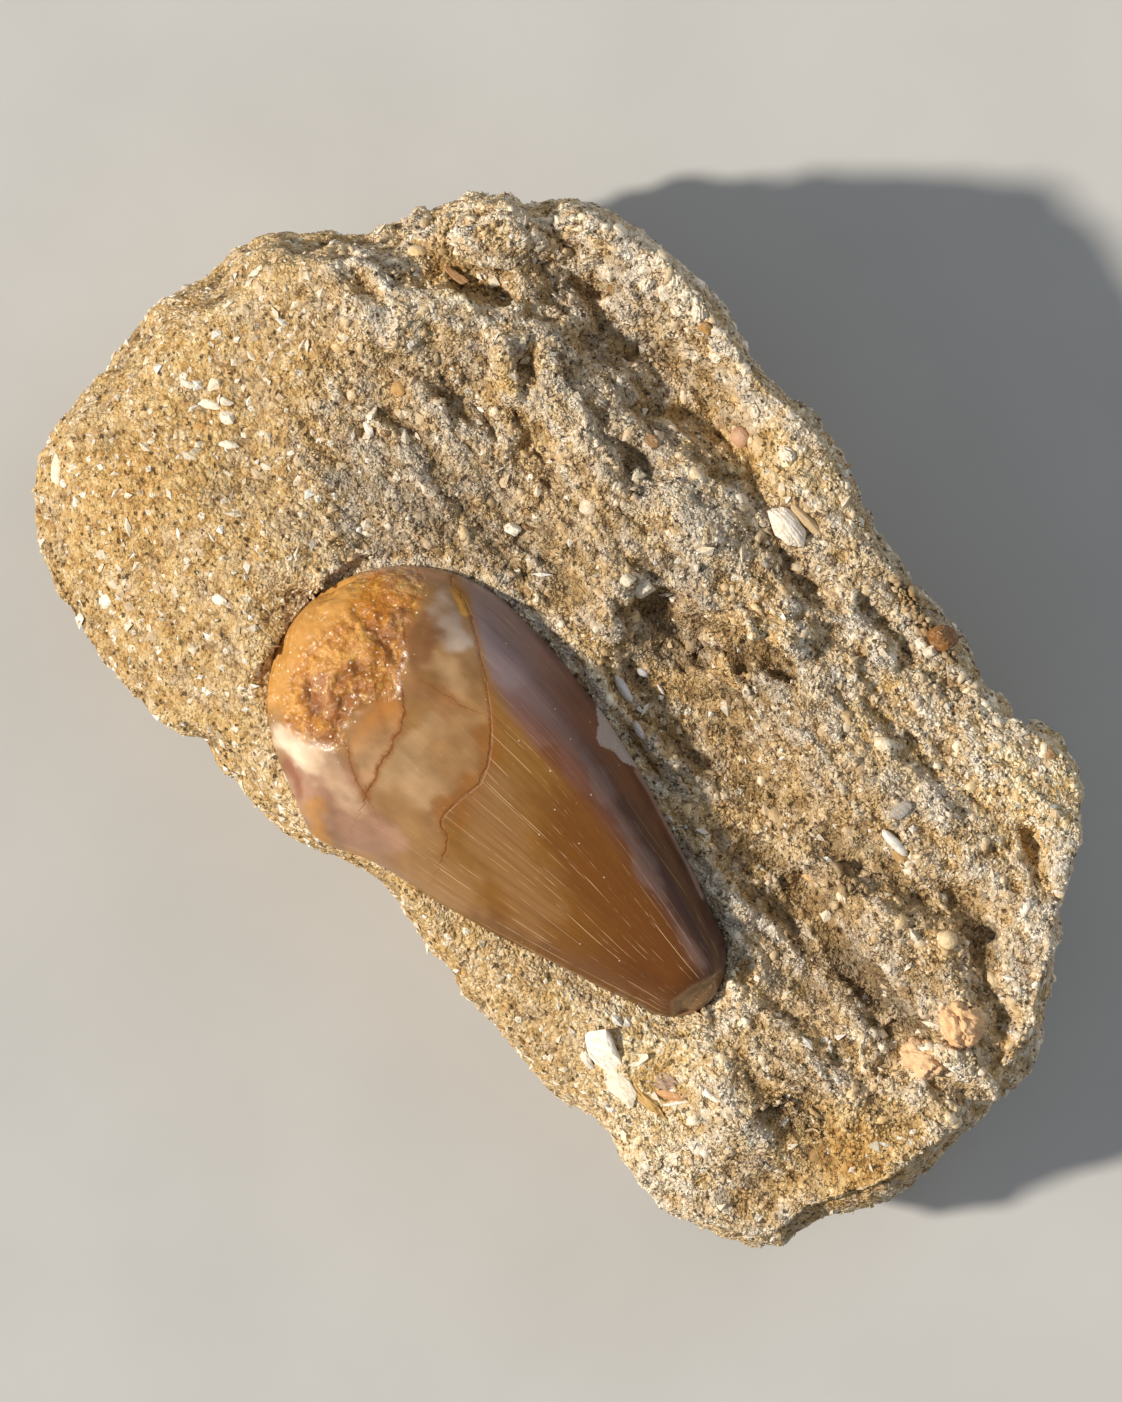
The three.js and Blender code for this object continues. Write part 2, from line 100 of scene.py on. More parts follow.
# %% [markdown]
# ## Shared mathematics
#
# Broken rock has no plain form, so its relief is summed from simple parts: soft humps along paths for the ridges
# and furrows that can be pointed at, and layered noise for the rest. The noise is a fixed function of the place, so
# the block comes out the same each time.


# %% Humps and noise
FAR_OFF = 9.0  # stands for a distance that nothing reaches, in cells or millimetres


def ease(x):
    """Runs smoothly from 0 to 1 as x goes from 0 to 1: three x squared less two x cubed."""
    t = np.clip(x, 0.0, 1.0)
    return t * t * (3.0 - 2.0 * t)


def hump(distance, width):
    """A bell: e to the power of minus the square of distance over width."""
    return np.exp(-((distance / width) ** 2))


def lattice_value(i, j, k):
    """A repeatable number from 0 to 1 for each lattice corner: the fraction of a large multiple of a sine."""
    value = np.sin(i * 12.9898 + j * 78.233 + k * 37.719) * 43758.5453
    return value - np.floor(value)


def smooth_noise(x, y, z):
    """Noise from -1 to 1: the values at the eight corners of each unit cube, blended with eased weights."""
    i, j, k = np.floor(x), np.floor(y), np.floor(z)
    u, v, w = ease(x - i), ease(y - j), ease(z - k)

    def along(dj, dk):
        return lattice_value(i, j + dj, k + dk) * (1 - u) + lattice_value(i + 1, j + dj, k + dk) * u

    def sheet(dk):
        return along(0, dk) * (1 - v) + along(1, dk) * v

    return 2 * (sheet(0) * (1 - w) + sheet(1) * w) - 1


def layered_noise(x, y, z, size, octaves):
    """Octaves of smooth noise, each half the size and half the height of the last. size is in millimetres."""
    total = 0.0
    for octave in range(octaves):
        scale = 2**octave / size
        total = total + 0.5**octave * smooth_noise(x * scale + 17.3 * octave, y * scale, z * scale)
    return total


def nearest_cell(x, y, z, size, kept):
    """Each cube of a lattice holds one random point. The distance, in cells, to the nearest of those in the 27 cubes
    round a place, and what kept gives for that cube and the way from its point."""
    x, y, z = x / size, y / size, z / size
    corner = np.floor(x), np.floor(y), np.floor(z)
    best, number = np.full(x.shape, FAR_OFF), np.zeros(x.shape)
    for step in np.ndindex(3, 3, 3):
        i, j, k = (low + part - 1 for low, part in zip(corner, step))
        away = (x - i - lattice_value(i, j, k), y - j - lattice_value(i + 57, j, k),
                z - k - lattice_value(i, j + 31, k))
        apart = np.sqrt(sum(part**2 for part in away))
        nearer = apart < best
        best, number = np.where(nearer, apart, best), np.where(nearer, kept((i, j, k), away), number)
    return best, number


def cell_distance(x, y, z, size):
    """Distance, in cells, to the nearest cell's point, and that cell's own random number."""
    return nearest_cell(x, y, z, size, lambda cell, away: lattice_value(cell[0] + 11, cell[1] + 5, cell[2] + 3))


def shards(x, y, z, size):
    """Flat facets at odd tilts: in each cell, a random level plus a random slope times the way from its point. From
    about -1 to 1."""
    def level(cell, away):
        i, j, k = cell
        slopes = [2 * lattice_value(i + turn, j + 3, k) - 1 for turn in (7, 19, 43)]
        return lattice_value(i, j, k + 71) - 0.5 + 1.1 * sum(a * b for a, b in zip(away, slopes))

    return nearest_cell(x, y, z, size, level)[1]


def stretches(x, y, path):
    """For each straight stretch of a path: the distance to its nearest point, and 1 on its left and -1 on its right."""
    for (ax, ay), (bx, by) in zip(path, path[1:]):
        dx, dy = bx - ax, by - ay
        t = np.clip(((x - ax) * dx + (y - ay) * dy) / (dx * dx + dy * dy), 0, 1)
        yield np.hypot(x - ax - t * dx, y - ay - t * dy), np.sign(dx * (y - ay) - dy * (x - ax))


def path_distance(x, y, path):
    """Distance to a path of straight stretches, or to a single point: the least of the distances."""
    if len(path) == 1:
        return np.hypot(x - path[0][0], y - path[0][1])
    return np.min([apart for apart, _ in stretches(x, y, path)], axis=0)


def side_distance(x, y, path):
    """Distance to a path with a sign: above 0 to the left of the way the path runs, below 0 to the right."""
    nearest, sign = np.full(np.shape(x), np.inf), np.ones(np.shape(x))
    for apart, side in stretches(x, y, path):
        sign = np.where(apart < nearest, side, sign)
        nearest = np.minimum(nearest, apart)
    return nearest * sign


def inside(x, y, ring):
    """True within a closed ring of corners: a ray along +X crosses its sides an odd number of times."""
    within = np.zeros(np.shape(x), bool)
    for (ax, ay), (bx, by) in zip(ring, ring[1:] + ring[:1]):
        if ay != by:
            within ^= ((ay > y) != (by > y)) & (x < ax + (bx - ax) * (y - ay) / (by - ay))
    return within


# %% [markdown]
# ## The block's outline and edges
#
# Seen from above the block has a long rounded outline. A closed smooth curve through its corners gives it, and a
# short table says how the edge turns over: how high the widest girth is, and how far out the upper face reaches
# before it begins to fall.

# %% Outline
OUTLINE = np.array([
    (45, -24.6), (46.9, -19.3), (49.5, -13.9), (49.7, -6.1), (49.5, 1.5), (47, 7.3), (42.7, 13.5),
    (39.6, 19.4), (37.1, 22.1), (34.7, 23.4), (31.6, 23.9), (26.6, 22.3), (20.2, 23.5), (13.6, 24.5),
    (7, 25.5), (-1.6, 27.7), (-9.5, 28.2), (-16.6, 29.7), (-23, 29.5), (-29.4, 27.5), (-32.5, 24),
    (-36.4, 21.8), (-39.8, 15.3), (-43.8, 10.2), (-47.8, 5.1), (-48.2, 0.2), (-49.6, -4.9), (-48.8, -12.1),
    (-48, -19.1), (-46.5, -22.9), (-40.3, -27.3), (-32.1, -29.2), (-24, -29.7), (-19.6, -28.6),
    (-10.3, -29), (-0.9, -26.2), (6.6, -27.3), (14.2, -27.8), (22.2, -28.3), (27.7, -27.2),
    (35.3, -29.2), (38.3, -28.4),
])
CORNERS = [0, 0.178, 0.449, 0.616, 1]  # where the corners of the faces' grids sit, as shares of the way round
# Bearing in degrees, height of the widest girth, and where the upper face and the underside begin to turn.
EDGE = np.array([
    (-150, 11, 0.86, 0.74), (-110, 13.5, 0.94, 0.76), (-70, 13.5, 0.95, 0.78), (-28, 12.5, 0.965, 0.78),
    (0, 12, 0.96, 0.78), (32, 13, 0.965, 0.78), (75, 15, 0.965, 0.74), (130, 15, 0.95, 0.74),
    (175, 11.5, 0.88, 0.72),
])


def smooth_ring(corners, per_step):
    """A closed curve through the corners: each stretch is the cubic whose slope at a corner is half the way from
    the corner before to the corner after."""
    t = np.arange(per_step)[:, None, None] / per_step
    before, here, after, next_after = (np.roll(corners, n, axis=0)[None] for n in (1, 0, -1, -2))
    slope, next_slope = (after - before) / 2, (next_after - here) / 2
    curve = (here + slope * t + (3 * (after - here) - 2 * slope - next_slope) * t**2
             + (2 * (here - after) + slope + next_slope) * t**3)
    return curve.transpose(1, 0, 2).reshape(-1, 2)


def outline_at(turns):
    """Points of the outline at equal shares of its length."""
    ring = smooth_ring(OUTLINE, 40)
    ring = np.vstack([ring, ring[:1]])
    length = np.concatenate([[0], np.cumsum(np.hypot(*np.diff(ring, axis=0).T))])
    return np.stack([np.interp(turns * length[-1], length, ring[:, axis]) for axis in (0, 1)], axis=1)


def edge_at(x, y):
    """Girth and the two shares at each point's bearing, eased between the table's rows."""
    bearing = np.degrees(np.arctan2(y, x))
    after = np.searchsorted(EDGE[:, 0], bearing, side="right")
    before, after = (after - 1) % len(EDGE), after % len(EDGE)
    span = (EDGE[after, 0] - EDGE[before, 0]) % 360
    t = ease(((bearing - EDGE[before, 0]) % 360) / span)[..., None]
    return np.moveaxis(EDGE[before, 1:] + (EDGE[after, 1:] - EDGE[before, 1:]) * t, -1, 0)


print("outline", np.ptp(OUTLINE, axis=0), "mm across its corners")

# %% [markdown]
# ## The tooth's form
#
# A mosasaur's tooth is a stout cone that hooks backwards, with a cutting edge down each side. It lies on its side
# here. In its own frame s runs from the broken base to the tip, w across, and h up from the plane of the two cutting
# edges. The block's skin needs this form too, because the rock comes up close to the edges and is hollow underneath.

# %% Tooth sections
TOOTH_LENGTH = 47.8
TOOTH_PLACE = np.array([-21.45, -17.45, 22.6])
HEADING, LEAN, PITCH = (math.radians(angle) for angle in (4.57, 11, 1.2))
UPPER_HEIGHT, LOWER_HEIGHT = 7.2, 6.4
BASE_ROUND, TIP_ROUND = 13, 3.8
HALF_WIDTH = np.array([
    (0, 12.3), (13, 12.3), (17.5, 12), (21, 11.5), (25, 10.85), (30, 9.55), (35, 7.9), (40, 6.3), (44, 4.8),
    (48, 4.2),
])
THINNING = (0.5, 2.2)  # how much thinner the tip is than the base, and the power of the share along
HOOK = (3, 2.3, 2.6)  # where across the middle line starts, how far it bends, and the power of the share along
LIP = (1.5, 13.6, 3.4)  # how far the root's lip bulges, where along the tooth, and how wide it is
SOCKET_GAP = 0.3
SOCKET_STEPS, STEP_SHARE = 12, 0.6  # how often the socket's floor is stepped towards, and the share of each step


def turn(angle, axis):
    """The matrix that turns by an angle about one axis: cosines along the other two axes, sines across them."""
    a, b = (axis + 1) % 3, (axis + 2) % 3
    matrix = np.eye(3)
    matrix[a, a] = matrix[b, b] = math.cos(angle)
    matrix[a, b], matrix[b, a] = -math.sin(angle), math.sin(angle)
    return matrix


TOOTH_TURN = turn(HEADING, 2) @ turn(PITCH, 1) @ turn(LEAN, 0)


def tooth_section(s, grow=0.0):
    """The section at s: middle line, half width, bulge of the root's lip, heights above and below, and where
    across it is highest. Both ends are rounded by quarter circles; grow swells it."""
    s = np.clip(s, 0, TOOTH_LENGTH)
    from_base = np.clip(s / BASE_ROUND, 0, 1)
    from_tip = np.clip((TOOTH_LENGTH - s) / TIP_ROUND, 0, 1)
    ends = np.sqrt(1 - (1 - from_base) ** 2) * np.sqrt(1 - (1 - from_tip) ** 2)
    share = s / TOOTH_LENGTH
    thickness = (1 - THINNING[0] * share ** THINNING[1]) * ends**0.85
    return {
        "middle": HOOK[0] - HOOK[1] * share ** HOOK[2],
        "half": np.interp(s, *HALF_WIDTH.T) * ends + grow,
        "lip": LIP[0] * hump(s - LIP[1], LIP[2]),
        "upper": UPPER_HEIGHT * thickness + grow,
        "lower": LOWER_HEIGHT * thickness + grow,
        "crest": 0.15 + 0.35 * ease(s / 22),
    }


def to_tooth(x, y, z):
    """Points of the block's frame in the tooth's frame."""
    return np.moveaxis((np.stack([x, y, z], axis=-1) - TOOTH_PLACE) @ TOOTH_TURN, -1, 0)


def tooth_surround(x, y):
    """The level of the cutting edges' plane over each point of the plan, and how far outside the tooth it is."""
    up = TOOTH_TURN[:, 2]
    level = TOOTH_PLACE[2] - (up[0] * (x - TOOTH_PLACE[0]) + up[1] * (y - TOOTH_PLACE[1])) / up[2]
    s, w, _ = to_tooth(x, y, level)
    section = tooth_section(s)
    past_end = np.maximum(0, np.maximum(-s, s - TOOTH_LENGTH))
    past_side = np.abs(w - section["middle"]) - section["half"]
    return level, np.where(past_end > 0, np.hypot(past_end, np.maximum(0, past_side)), past_side)


def socket_floor(x, y):
    """Height of the tooth's underside, swollen by the gap: stepped towards until the height and the form agree."""
    z, _ = tooth_surround(x, y)
    for _ in range(SOCKET_STEPS):
        s, w, h = to_tooth(x, y, z)
        section = tooth_section(s, SOCKET_GAP)
        v = np.clip((w - section["middle"]) / section["half"], -1, 1)
        z = z + STEP_SHARE * (-section["lower"] * np.sqrt(1 - v * v) - h)
    return z


print("tooth", TOOTH_LENGTH, "mm long and", 2 * HALF_WIDTH[0, 1], "mm wide")

# %% [markdown]
# ## The block's faces
#
# The upper face starts as a plane, falls away along a few broad slopes, and carries named ridges, furrows, knobs and
# pits. The underside is a flat broken patch that the block rests on, with the rock climbing away round it.

# %% Relief of the upper face
CROWN_LEVEL, CROSSFALL = 25.6, 0.05
# Direction, where it starts along that direction, how much it falls for each millimetre, how softly it starts.
SLOPES = [
    ((-0.75, -0.66), 28, 0.5, 3),  # down the pale lobe
    ((0.1, -0.995), 17, 0.55, 2),  # below the tooth
    ((0.25, 0.97), 25, 0.35, 1.5),  # behind the back ridge
    ((0.9, -0.44), 42, 0.2, 2),  # down to the foot
]
# Width, rise (above 0) or depth (below 0), and the path or point that it follows.
RELIEF = {
    "valley": (5, -3.9, [(-24.6, 20.4), (-17.1, 21.9), (-9, 22.4)]),
    "valley tail": (3, -1.4, [(-9, 22.4), (-1.5, 20.5), (7.8, 17.5)]),
    "back crease": (1.5, -0.8, [(2, 21.6), (9.5, 20.7), (16, 19.6)]),
    "back ridge": (3.4, 1.6, [(-30.6, 25.6), (-22.4, 27), (-14.1, 27.1), (-7.8, 25), (-2.7, 23.5), (8.4, 21.4)]),
    "grey shelf": (3.4, 2.2, [(-5.2, 14.4), (-1.8, 14.8)]),
    "shelf pit": (1.2, -0.9, [(-10.2, 13.6), (-8.6, 12.4)]),
    "deep hollow": (1.6, -2.7, [(-1, 7.4), (1.6, 6.9), (4, 6.4)]),
    "hollow bench": (2.6, -1.2, [(4.4, 9), (8.6, 7.8), (13, 6)]),
    "hollow crevice": (0.8, -1.4, [(4.7, 7), (7.5, 8.9), (10.3, 11)]),
    "hollow knob": (3.1, 1.8, [(-3.7, 4.2)]),
    "east knob": (2, 1.5, [(5.3, 11.1)]),
    "far east knob": (1.7, 1.2, [(8.7, 12.7)]),
    "hollow brow": (1.6, 1, [(0.4, 10.2)]),
    "tooth trough": (4.6, -2.5, [(3, 3.6), (8, 3.2), (14.5, 1.4), (22.5, -1.9), (29.5, -6)]),
    "tan ridge": (5.6, 1.8, [(7.2, 10), (15.9, 7.9), (22.5, 7.3), (28, 8.5)]),
    "grey furrow": (1.7, -1.6, [(23.7, 4.3), (28.4, 5), (35, 6.3), (39.2, 5.3), (44, 3.3), (47.3, 0.6)]),
    "arch lip": (1.5, 1, [(22.4, -2.7), (23.6, 0.2), (28.6, 2.5), (33.4, 3.1)]),
    "arch plateau": (4, 0.8, [(30.2, -0.1)]),
    "dark slope": (1.8, -2, [(25.2, -0.6), (29.8, -2.1), (33.1, -2.5), (37.1, -3.6), (39.3, -4.8)]),
    "peach lumps": (2.7, 1.4, [(41.4, 1.5), (42.7, -2.6)]),
    "east rim": (2.8, 1.1, [(41.2, 10.3), (46, 6.7), (48.4, 0.9)]),
    "lump crease": (1, -1.6, [(34.6, 15), (37.1, 14.2), (41.6, 13.6)]),
    "east lump": (3.6, 1.9, [(31.6, 20.5), (36, 19.3), (39.5, 15.8)]),
    "foot hollow": (2.2, -0.8, [(39.4, -20.4), (40.4, -18.4), (42.2, -17.2)]),
    "corner crease": (1.5, -1.4, [(41, -5.6), (43.9, -4.4), (49.1, -2.5)]),
    "foot rib": (2.2, 1, [(31.4, -16.2), (34.9, -17.6)]),
    "foot knob": (3, 1.5, [(34.9, -19.9)]),
    "foot crevice": (0.6, -0.8, [(36, -17.2), (37.6, -17), (39.4, -16)]),
    "peach crevice": (0.55, -1, [(37.9, -3.6), (40.8, -2.5), (43.6, -1.2)]),
    "shell swell": (2.6, 0.8, [(24.9, -22.1)]),
    "foot edge": (1.8, 0.8, [(37.7, -27.1), (43.6, -23.3), (47.2, -14.9), (48.4, -8.3)]),
    "crown pit": (1.6, -2.1, [(-30.6, 24.1), (-27.6, 23.3), (-23.9, 22.5)]),
    "west knob": (3.6, 1.7, [(-33.9, 19.9)]),
    "north knob": (2.6, 1.2, [(-26.7, 27)]),
    "crown groove": (1.15, -2.6, [(-39.8, 13.2), (-35.8, 14.7), (-32, 15.7), (-29.4, 16.8)]),
    "crown crest": (3, 2, [(-34, 7.3), (-31.1, 13.5), (-27.2, 15.5), (-22.4, 16.2)]),
    "shoulder crest": (2.8, 1.6, [(-20.1, 15.1), (-14, 12.8), (-8.6, 9.8), (-4.5, 7.3)]),
    "shoulder dip": (2.4, -1.7, [(-25.5, 8.6), (-22, 8.8), (-16.6, 9.4)]),
    "lobe crease": (2.4, -0.5, [(-42.4, -1.1), (-35.9, -6.6), (-29.4, -13.4), (-25.1, -19.3)]),
    "lobe crest": (3, 1, [(-46.6, 5.3), (-41, 8.4), (-35.5, 9.4)]),
    # Small ones, too fine for the solid.
    "rib": (1, 1.1, [(-25.2, 13.7), (-19.9, 8.1)]),
    "rib groove": (1, -0.5, [(-23.2, 13.5), (-17.8, 9.6)]),
    "lobe nick": (1.1, -1.1, [(-38.9, 8.6), (-33.9, 8.8)]),
    "small knob": (1.2, 0.9, [(6.6, 7.4), (8.4, 8.4)]),
    "cream knob": (1.2, 1.1, [(36.5, 4.7)]),
    "small pit": (0.9, -0.7, [(36.4, -8.3)]),
    "tip pit": (1.1, -1.3, [(26.6, -9.6)]),
    "bench lumps": (0.9, 0.9, [(4.8, 9.6), (6.4, 10.4)]),
    "back lumps": (1.2, 0.7, [(-20, 27.6), (-18.6, 27.9)]),
}
WANDER = 0.9  # how far noise pushes the paths about
HUG_BELOW, HUG_REACH = 0.2, 2.2  # the rock ends this far below the cutting edges, and comes up to them over this


def upper_face(x, y):
    """Plane, less the slopes, plus each path's rise times a bell of the distance to it, drawn up to the tooth."""
    height = CROWN_LEVEL + CROSSFALL * y
    for (dx, dy), start, slope, softness in SLOPES:
        past = (x * dx + y * dy - start) / softness
        height = height - slope * softness * np.log1p(np.exp(np.minimum(past, 30)))
    bent_x = x + WANDER * layered_noise(x, y, 2, 5.0, 3)
    bent_y = y + WANDER * layered_noise(x, y, 7, 4.0, 3)
    for width, rise, path in RELIEF.values():
        height = height + rise * hump(path_distance(bent_x, bent_y, path), width)
    level, outside = tooth_surround(x, y)
    return height + (level - HUG_BELOW - height) * hump(np.maximum(0, outside), HUG_REACH)


# %% The underside
REST_HALF_LENGTH, REST_HALF_WIDTH = 30.0, 17.0
CLIMB, CLIMB_POWER = 5.0, 1.35


def past_rest_patch(x, y):
    """How far outside the flat patch a point is, as a share of its size: an ellipse with a wandering edge."""
    bearing = np.arctan2(y, x)
    ragged = 1 + 0.12 * (0.6 * np.sin(3 * bearing + 0.6) + 0.4 * np.sin(5 * bearing + 2.1))
    return np.hypot(x / REST_HALF_LENGTH, y / REST_HALF_WIDTH) / ragged - 1


def under_face(x, y):
    """Level 0 within the patch; past it, the climb times a power of the share past."""
    return CLIMB * np.maximum(0, past_rest_patch(x, y)) ** CLIMB_POWER


# %% [markdown]
# ## The block's skin
#
# The skin is one closed mesh. A grid is stretched over the upper face between its four borders, rings of points turn
# over the edge and go down the sides, and a coarser grid closes the underside. The rings lose half their points twice
# on the way down, because the upper face needs cells of a third of a millimetre and the underside doesn't.

# %% Grids and rings
ALONG, ACROSS = 328, 196  # cells of the upper face
FINE_ROWS, MIDDLE_ROWS, COARSE_ROWS = 12, 14, 16  # rows down the side at full, half and quarter resolution
INSET = 0.3  # the skin stays this far inside the outline, because the sand grains stand out of it


def rim(step):
    """Spokes of the plan, counter-clockwise from the foot's corner: where each meets the outline."""
    turns = []
    for side, cells in enumerate((ACROSS // step, ALONG // step) * 2):
        first, last = CORNERS[side], CORNERS[side + 1]
        turns.append(first + (last - first) * np.arange(cells) / cells)
    ends = outline_at(np.concatenate(turns))
    girth, upper_share, lower_share = edge_at(*ends.T)
    reach = np.hypot(*ends.T)
    return ends * (1 - INSET / reach)[:, None], girth, upper_share, lower_share


def face_plan(step, share):
    """A grid stretched between four borders: the blend of the borders ahead and behind, plus the blend of those
    beside, less the blend of the four corners."""
    along, across = ALONG // step, ACROSS // step
    ends = rim(step)
    border = ends[0] * ends[share][:, None]

    def at(n):
        return border[np.asarray(n) % len(border)]

    i, j = np.meshgrid(np.arange(along + 1), np.arange(across + 1))
    u, v = (i / along)[..., None], (j / across)[..., None]
    plan = at(i - along) * (1 - v) + at(across + along - i) * v
    plan = plan + at(2 * across + along - j) * (1 - u) + at(j) * u
    plan = plan - at(-along) * (1 - u) * (1 - v) - at(0) * u * (1 - v)
    plan = plan - at(across + along) * (1 - u) * v - at(across) * u * v
    return plan.reshape(-1, 2)


def face_triangles(points, step, start, is_upper):
    """Two triangles a cell, split along its shorter diagonal."""
    along, across = ALONG // step, ACROSS // step
    i, j = np.meshgrid(np.arange(along), np.arange(across))
    a = (start + j * (along + 1) + i).ravel()
    b, c, d = a + 1, a + along + 1, a + along + 2
    short = np.linalg.norm(points[a] - points[d], axis=1) < np.linalg.norm(points[b] - points[c], axis=1)
    first = np.where(short[:, None], np.stack([a, b, d], 1), np.stack([a, b, c], 1))
    second = np.where(short[:, None], np.stack([a, d, c], 1), np.stack([b, d, c], 1))
    triangles = np.vstack([first, second])
    return triangles if is_upper else triangles[:, ::-1]


def face_border(step, start):
    """Indices of a face's border, counter-clockwise from the foot's corner."""
    along, across = ALONG // step, ACROSS // step
    i = np.concatenate([np.full(across, along), along - np.arange(along), np.zeros(across, int), np.arange(along)])
    j = np.concatenate([np.arange(across), np.full(along, across), across - np.arange(across), np.zeros(along, int)])
    return start + j * (along + 1) + i


def row_triangles(above, below):
    """Triangles between two rings. Where the lower one has half as many points, each of its steps meets two."""
    ratio = len(above) // len(below)
    first, last = above[::ratio], np.roll(above[::ratio], -1)
    here, after = below, np.roll(below, -1)
    middle = above[1::2] if ratio == 2 else first
    parts = [np.stack([middle, here, after], 1), np.stack([middle, after, last], 1)]
    if ratio == 2:
        parts.append(np.stack([first, here, middle], 1))
    return np.vstack(parts)


# %% Assemble the skin
def block_skin():
    """Points and triangles of the closed skin before it is weathered."""
    top = face_plan(1, 2)
    points = [np.column_stack([top, upper_face(*top.T)])]
    rings, count = [face_border(1, 0)], len(top)

    def ring(place):
        nonlocal count
        points.append(place)
        rings.append(np.arange(count, count + len(place)))
        count += len(place)

    rows = FINE_ROWS + 2 * MIDDLE_ROWS
    fine = list(range(1, FINE_ROWS + 1))
    for row in fine + list(range(FINE_ROWS + 2, rows + 1, 2)):
        ends, girth, share, _ = rim(1 if row <= FINE_ROWS else 2)
        angle = math.acos(1 - row / rows)
        plan = ends * (share + (1 - share) * math.sin(angle))[:, None]
        ring(np.column_stack([plan, girth + (upper_face(*plan.T) - girth) * math.cos(angle)]))
    for row in range(1, COARSE_ROWS):
        ends, girth, _, share = rim(4)
        angle = math.asin(row / COARSE_ROWS)
        plan = ends * (share + (1 - share) * math.cos(angle))[:, None]
        floor = under_face(*plan.T)
        ring(np.column_stack([plan, floor + (girth - floor) * (1 - math.sin(angle))]))
    under = face_plan(4, 3)
    points.append(np.column_stack([under, under_face(*under.T)]))
    rings.append(face_border(4, count))

    points = np.vstack(points)
    triangles = [face_triangles(points, 1, 0, True), face_triangles(points, 4, count, False)]
    triangles += [row_triangles(above, below) for above, below in zip(rings, rings[1:])]
    return points, np.vstack(triangles)


def vertex_normals(points, triangles):
    """The sum of the cross products of the triangles round each point, brought to length 1."""
    a, b, c = (points[triangles[:, n]] for n in range(3))
    cross = np.cross(b - a, c - a)
    total = np.stack([
        sum(np.bincount(triangles[:, n], cross[:, axis], len(points)) for n in range(3)) for axis in range(3)
    ], axis=1)
    return total / np.maximum(np.linalg.norm(total, axis=1), 1e-12)[:, None]


skin, skin_triangles = block_skin()
print("skin:", len(skin), "points,", len(skin_triangles), "triangles")

# %% [markdown]
# ## Weathering
#
# Three passes rough the skin up. The first wanders in and out by a millimetre in lumps as big as a thumbnail and
# breaks the steep sides. The second is the grain of the rock itself: fine and even on the pale lobe, ragged elsewhere,
# and drawn out along the block where the bedding shows. The last presses the tooth's socket in and keeps the skin in
# its box.


# %% Weather the skin
def lobe_share(x, y):
    """1 on the smooth pale rock, which is the lobe and the strip below the tooth, and 0 on the ragged rock."""
    wander = 2.5 * layered_noise(x, y, 4, 9.0, 3)
    down_lobe, below_tooth = (x * dx + y * dy for (dx, dy), *_ in SLOPES[:2])
    lobe = ease((down_lobe + wander - 22) / 7)
    strip = ease((below_tooth + 0.6 * wander - 17.5) / 4) * ease((33 - x) / 8)
    return np.maximum(lobe, strip)


# Width and path of each pale crust, where the rock is worn smoother than round it.
CRUSTS = [
    (3, [(33, -27), (38.5, -26.5), (43.6, -23.3), (47.2, -14.9), (48.4, -8.3)]),
    (2.6, RELIEF["foot knob"][2]),
    (2.2, [(-32, 26), (-22.4, 27.5), (-14.1, 27.3), (-7.8, 25.2), (-2.7, 23.7), (8.4, 21.6)]),
    (1.8, RELIEF["crown crest"][2]),
    (2.4, RELIEF["grey shelf"][2]),
    (2.4, RELIEF["east lump"][2]),
]


def crust_share(x, y):
    """1 on the crusts and 0 off them."""
    return np.max([hump(path_distance(x, y, path), width) for width, path in CRUSTS], axis=0)


def domes(x, y, z, size):
    """Round lumps packed side by side, 1 at the top of each: a circle's arc over the cell distance."""
    return np.sqrt(np.maximum(0, 1 - (cell_distance(x, y, z, size)[0] / 0.85) ** 2))


# Height in millimetres of each layer of the rock's grain, where it is ragged and where it is smooth.
RAGGED_GRAIN = {"crests": 1.3, "strata": 0.4, "bedding": 0.2, "lumps": 0.5, "crumbs": 0.42, "facets": 0.14,
                "pits": -0.35, "ledges": 0.65}
SMOOTH_GRAIN = {"grit": 0.15, "facets": 0.06, "crumbs": 0.24, "pits": -0.2}
RAGGED_SUNK = 0.36  # brings the mean of the ragged grain to about 0
LUMP_HEIGHT, BREAK_DEPTH, SCALLOP_HEIGHT = 1.2, 1.8, 0.8


def coarse_wear(x, y, z, steepness):
    """Lumps and side breaks, the same as in the solid: layered noise, calmed near the tooth and the rest patch."""
    is_upper = z > CROWN_LEVEL / 2
    calm = np.where(is_upper, ease((tooth_surround(x, y)[1] - 0.5) / 4), ease(past_rest_patch(x, y) / 0.35))
    lumps = layered_noise(x / 1.6, y, z, 15, 3)
    clear = ease(np.abs(z - edge_at(x, y)[0]) / 5)
    breaks = steepness * clear * (0.5 + layered_noise(x + 31, y, z * 1.5, 11, 2) / 2)
    scallops = steepness * (domes(x, y, z, 2.8) + 0.6 * domes(x, y, z, 1.6) - 1.0)
    even = 1 - 0.7 * crust_share(x, y)
    lumps = LUMP_HEIGHT * lumps * (1 - steepness * (1 - clear))
    return calm * (lumps - BREAK_DEPTH * breaks + SCALLOP_HEIGHT * scallops * even)


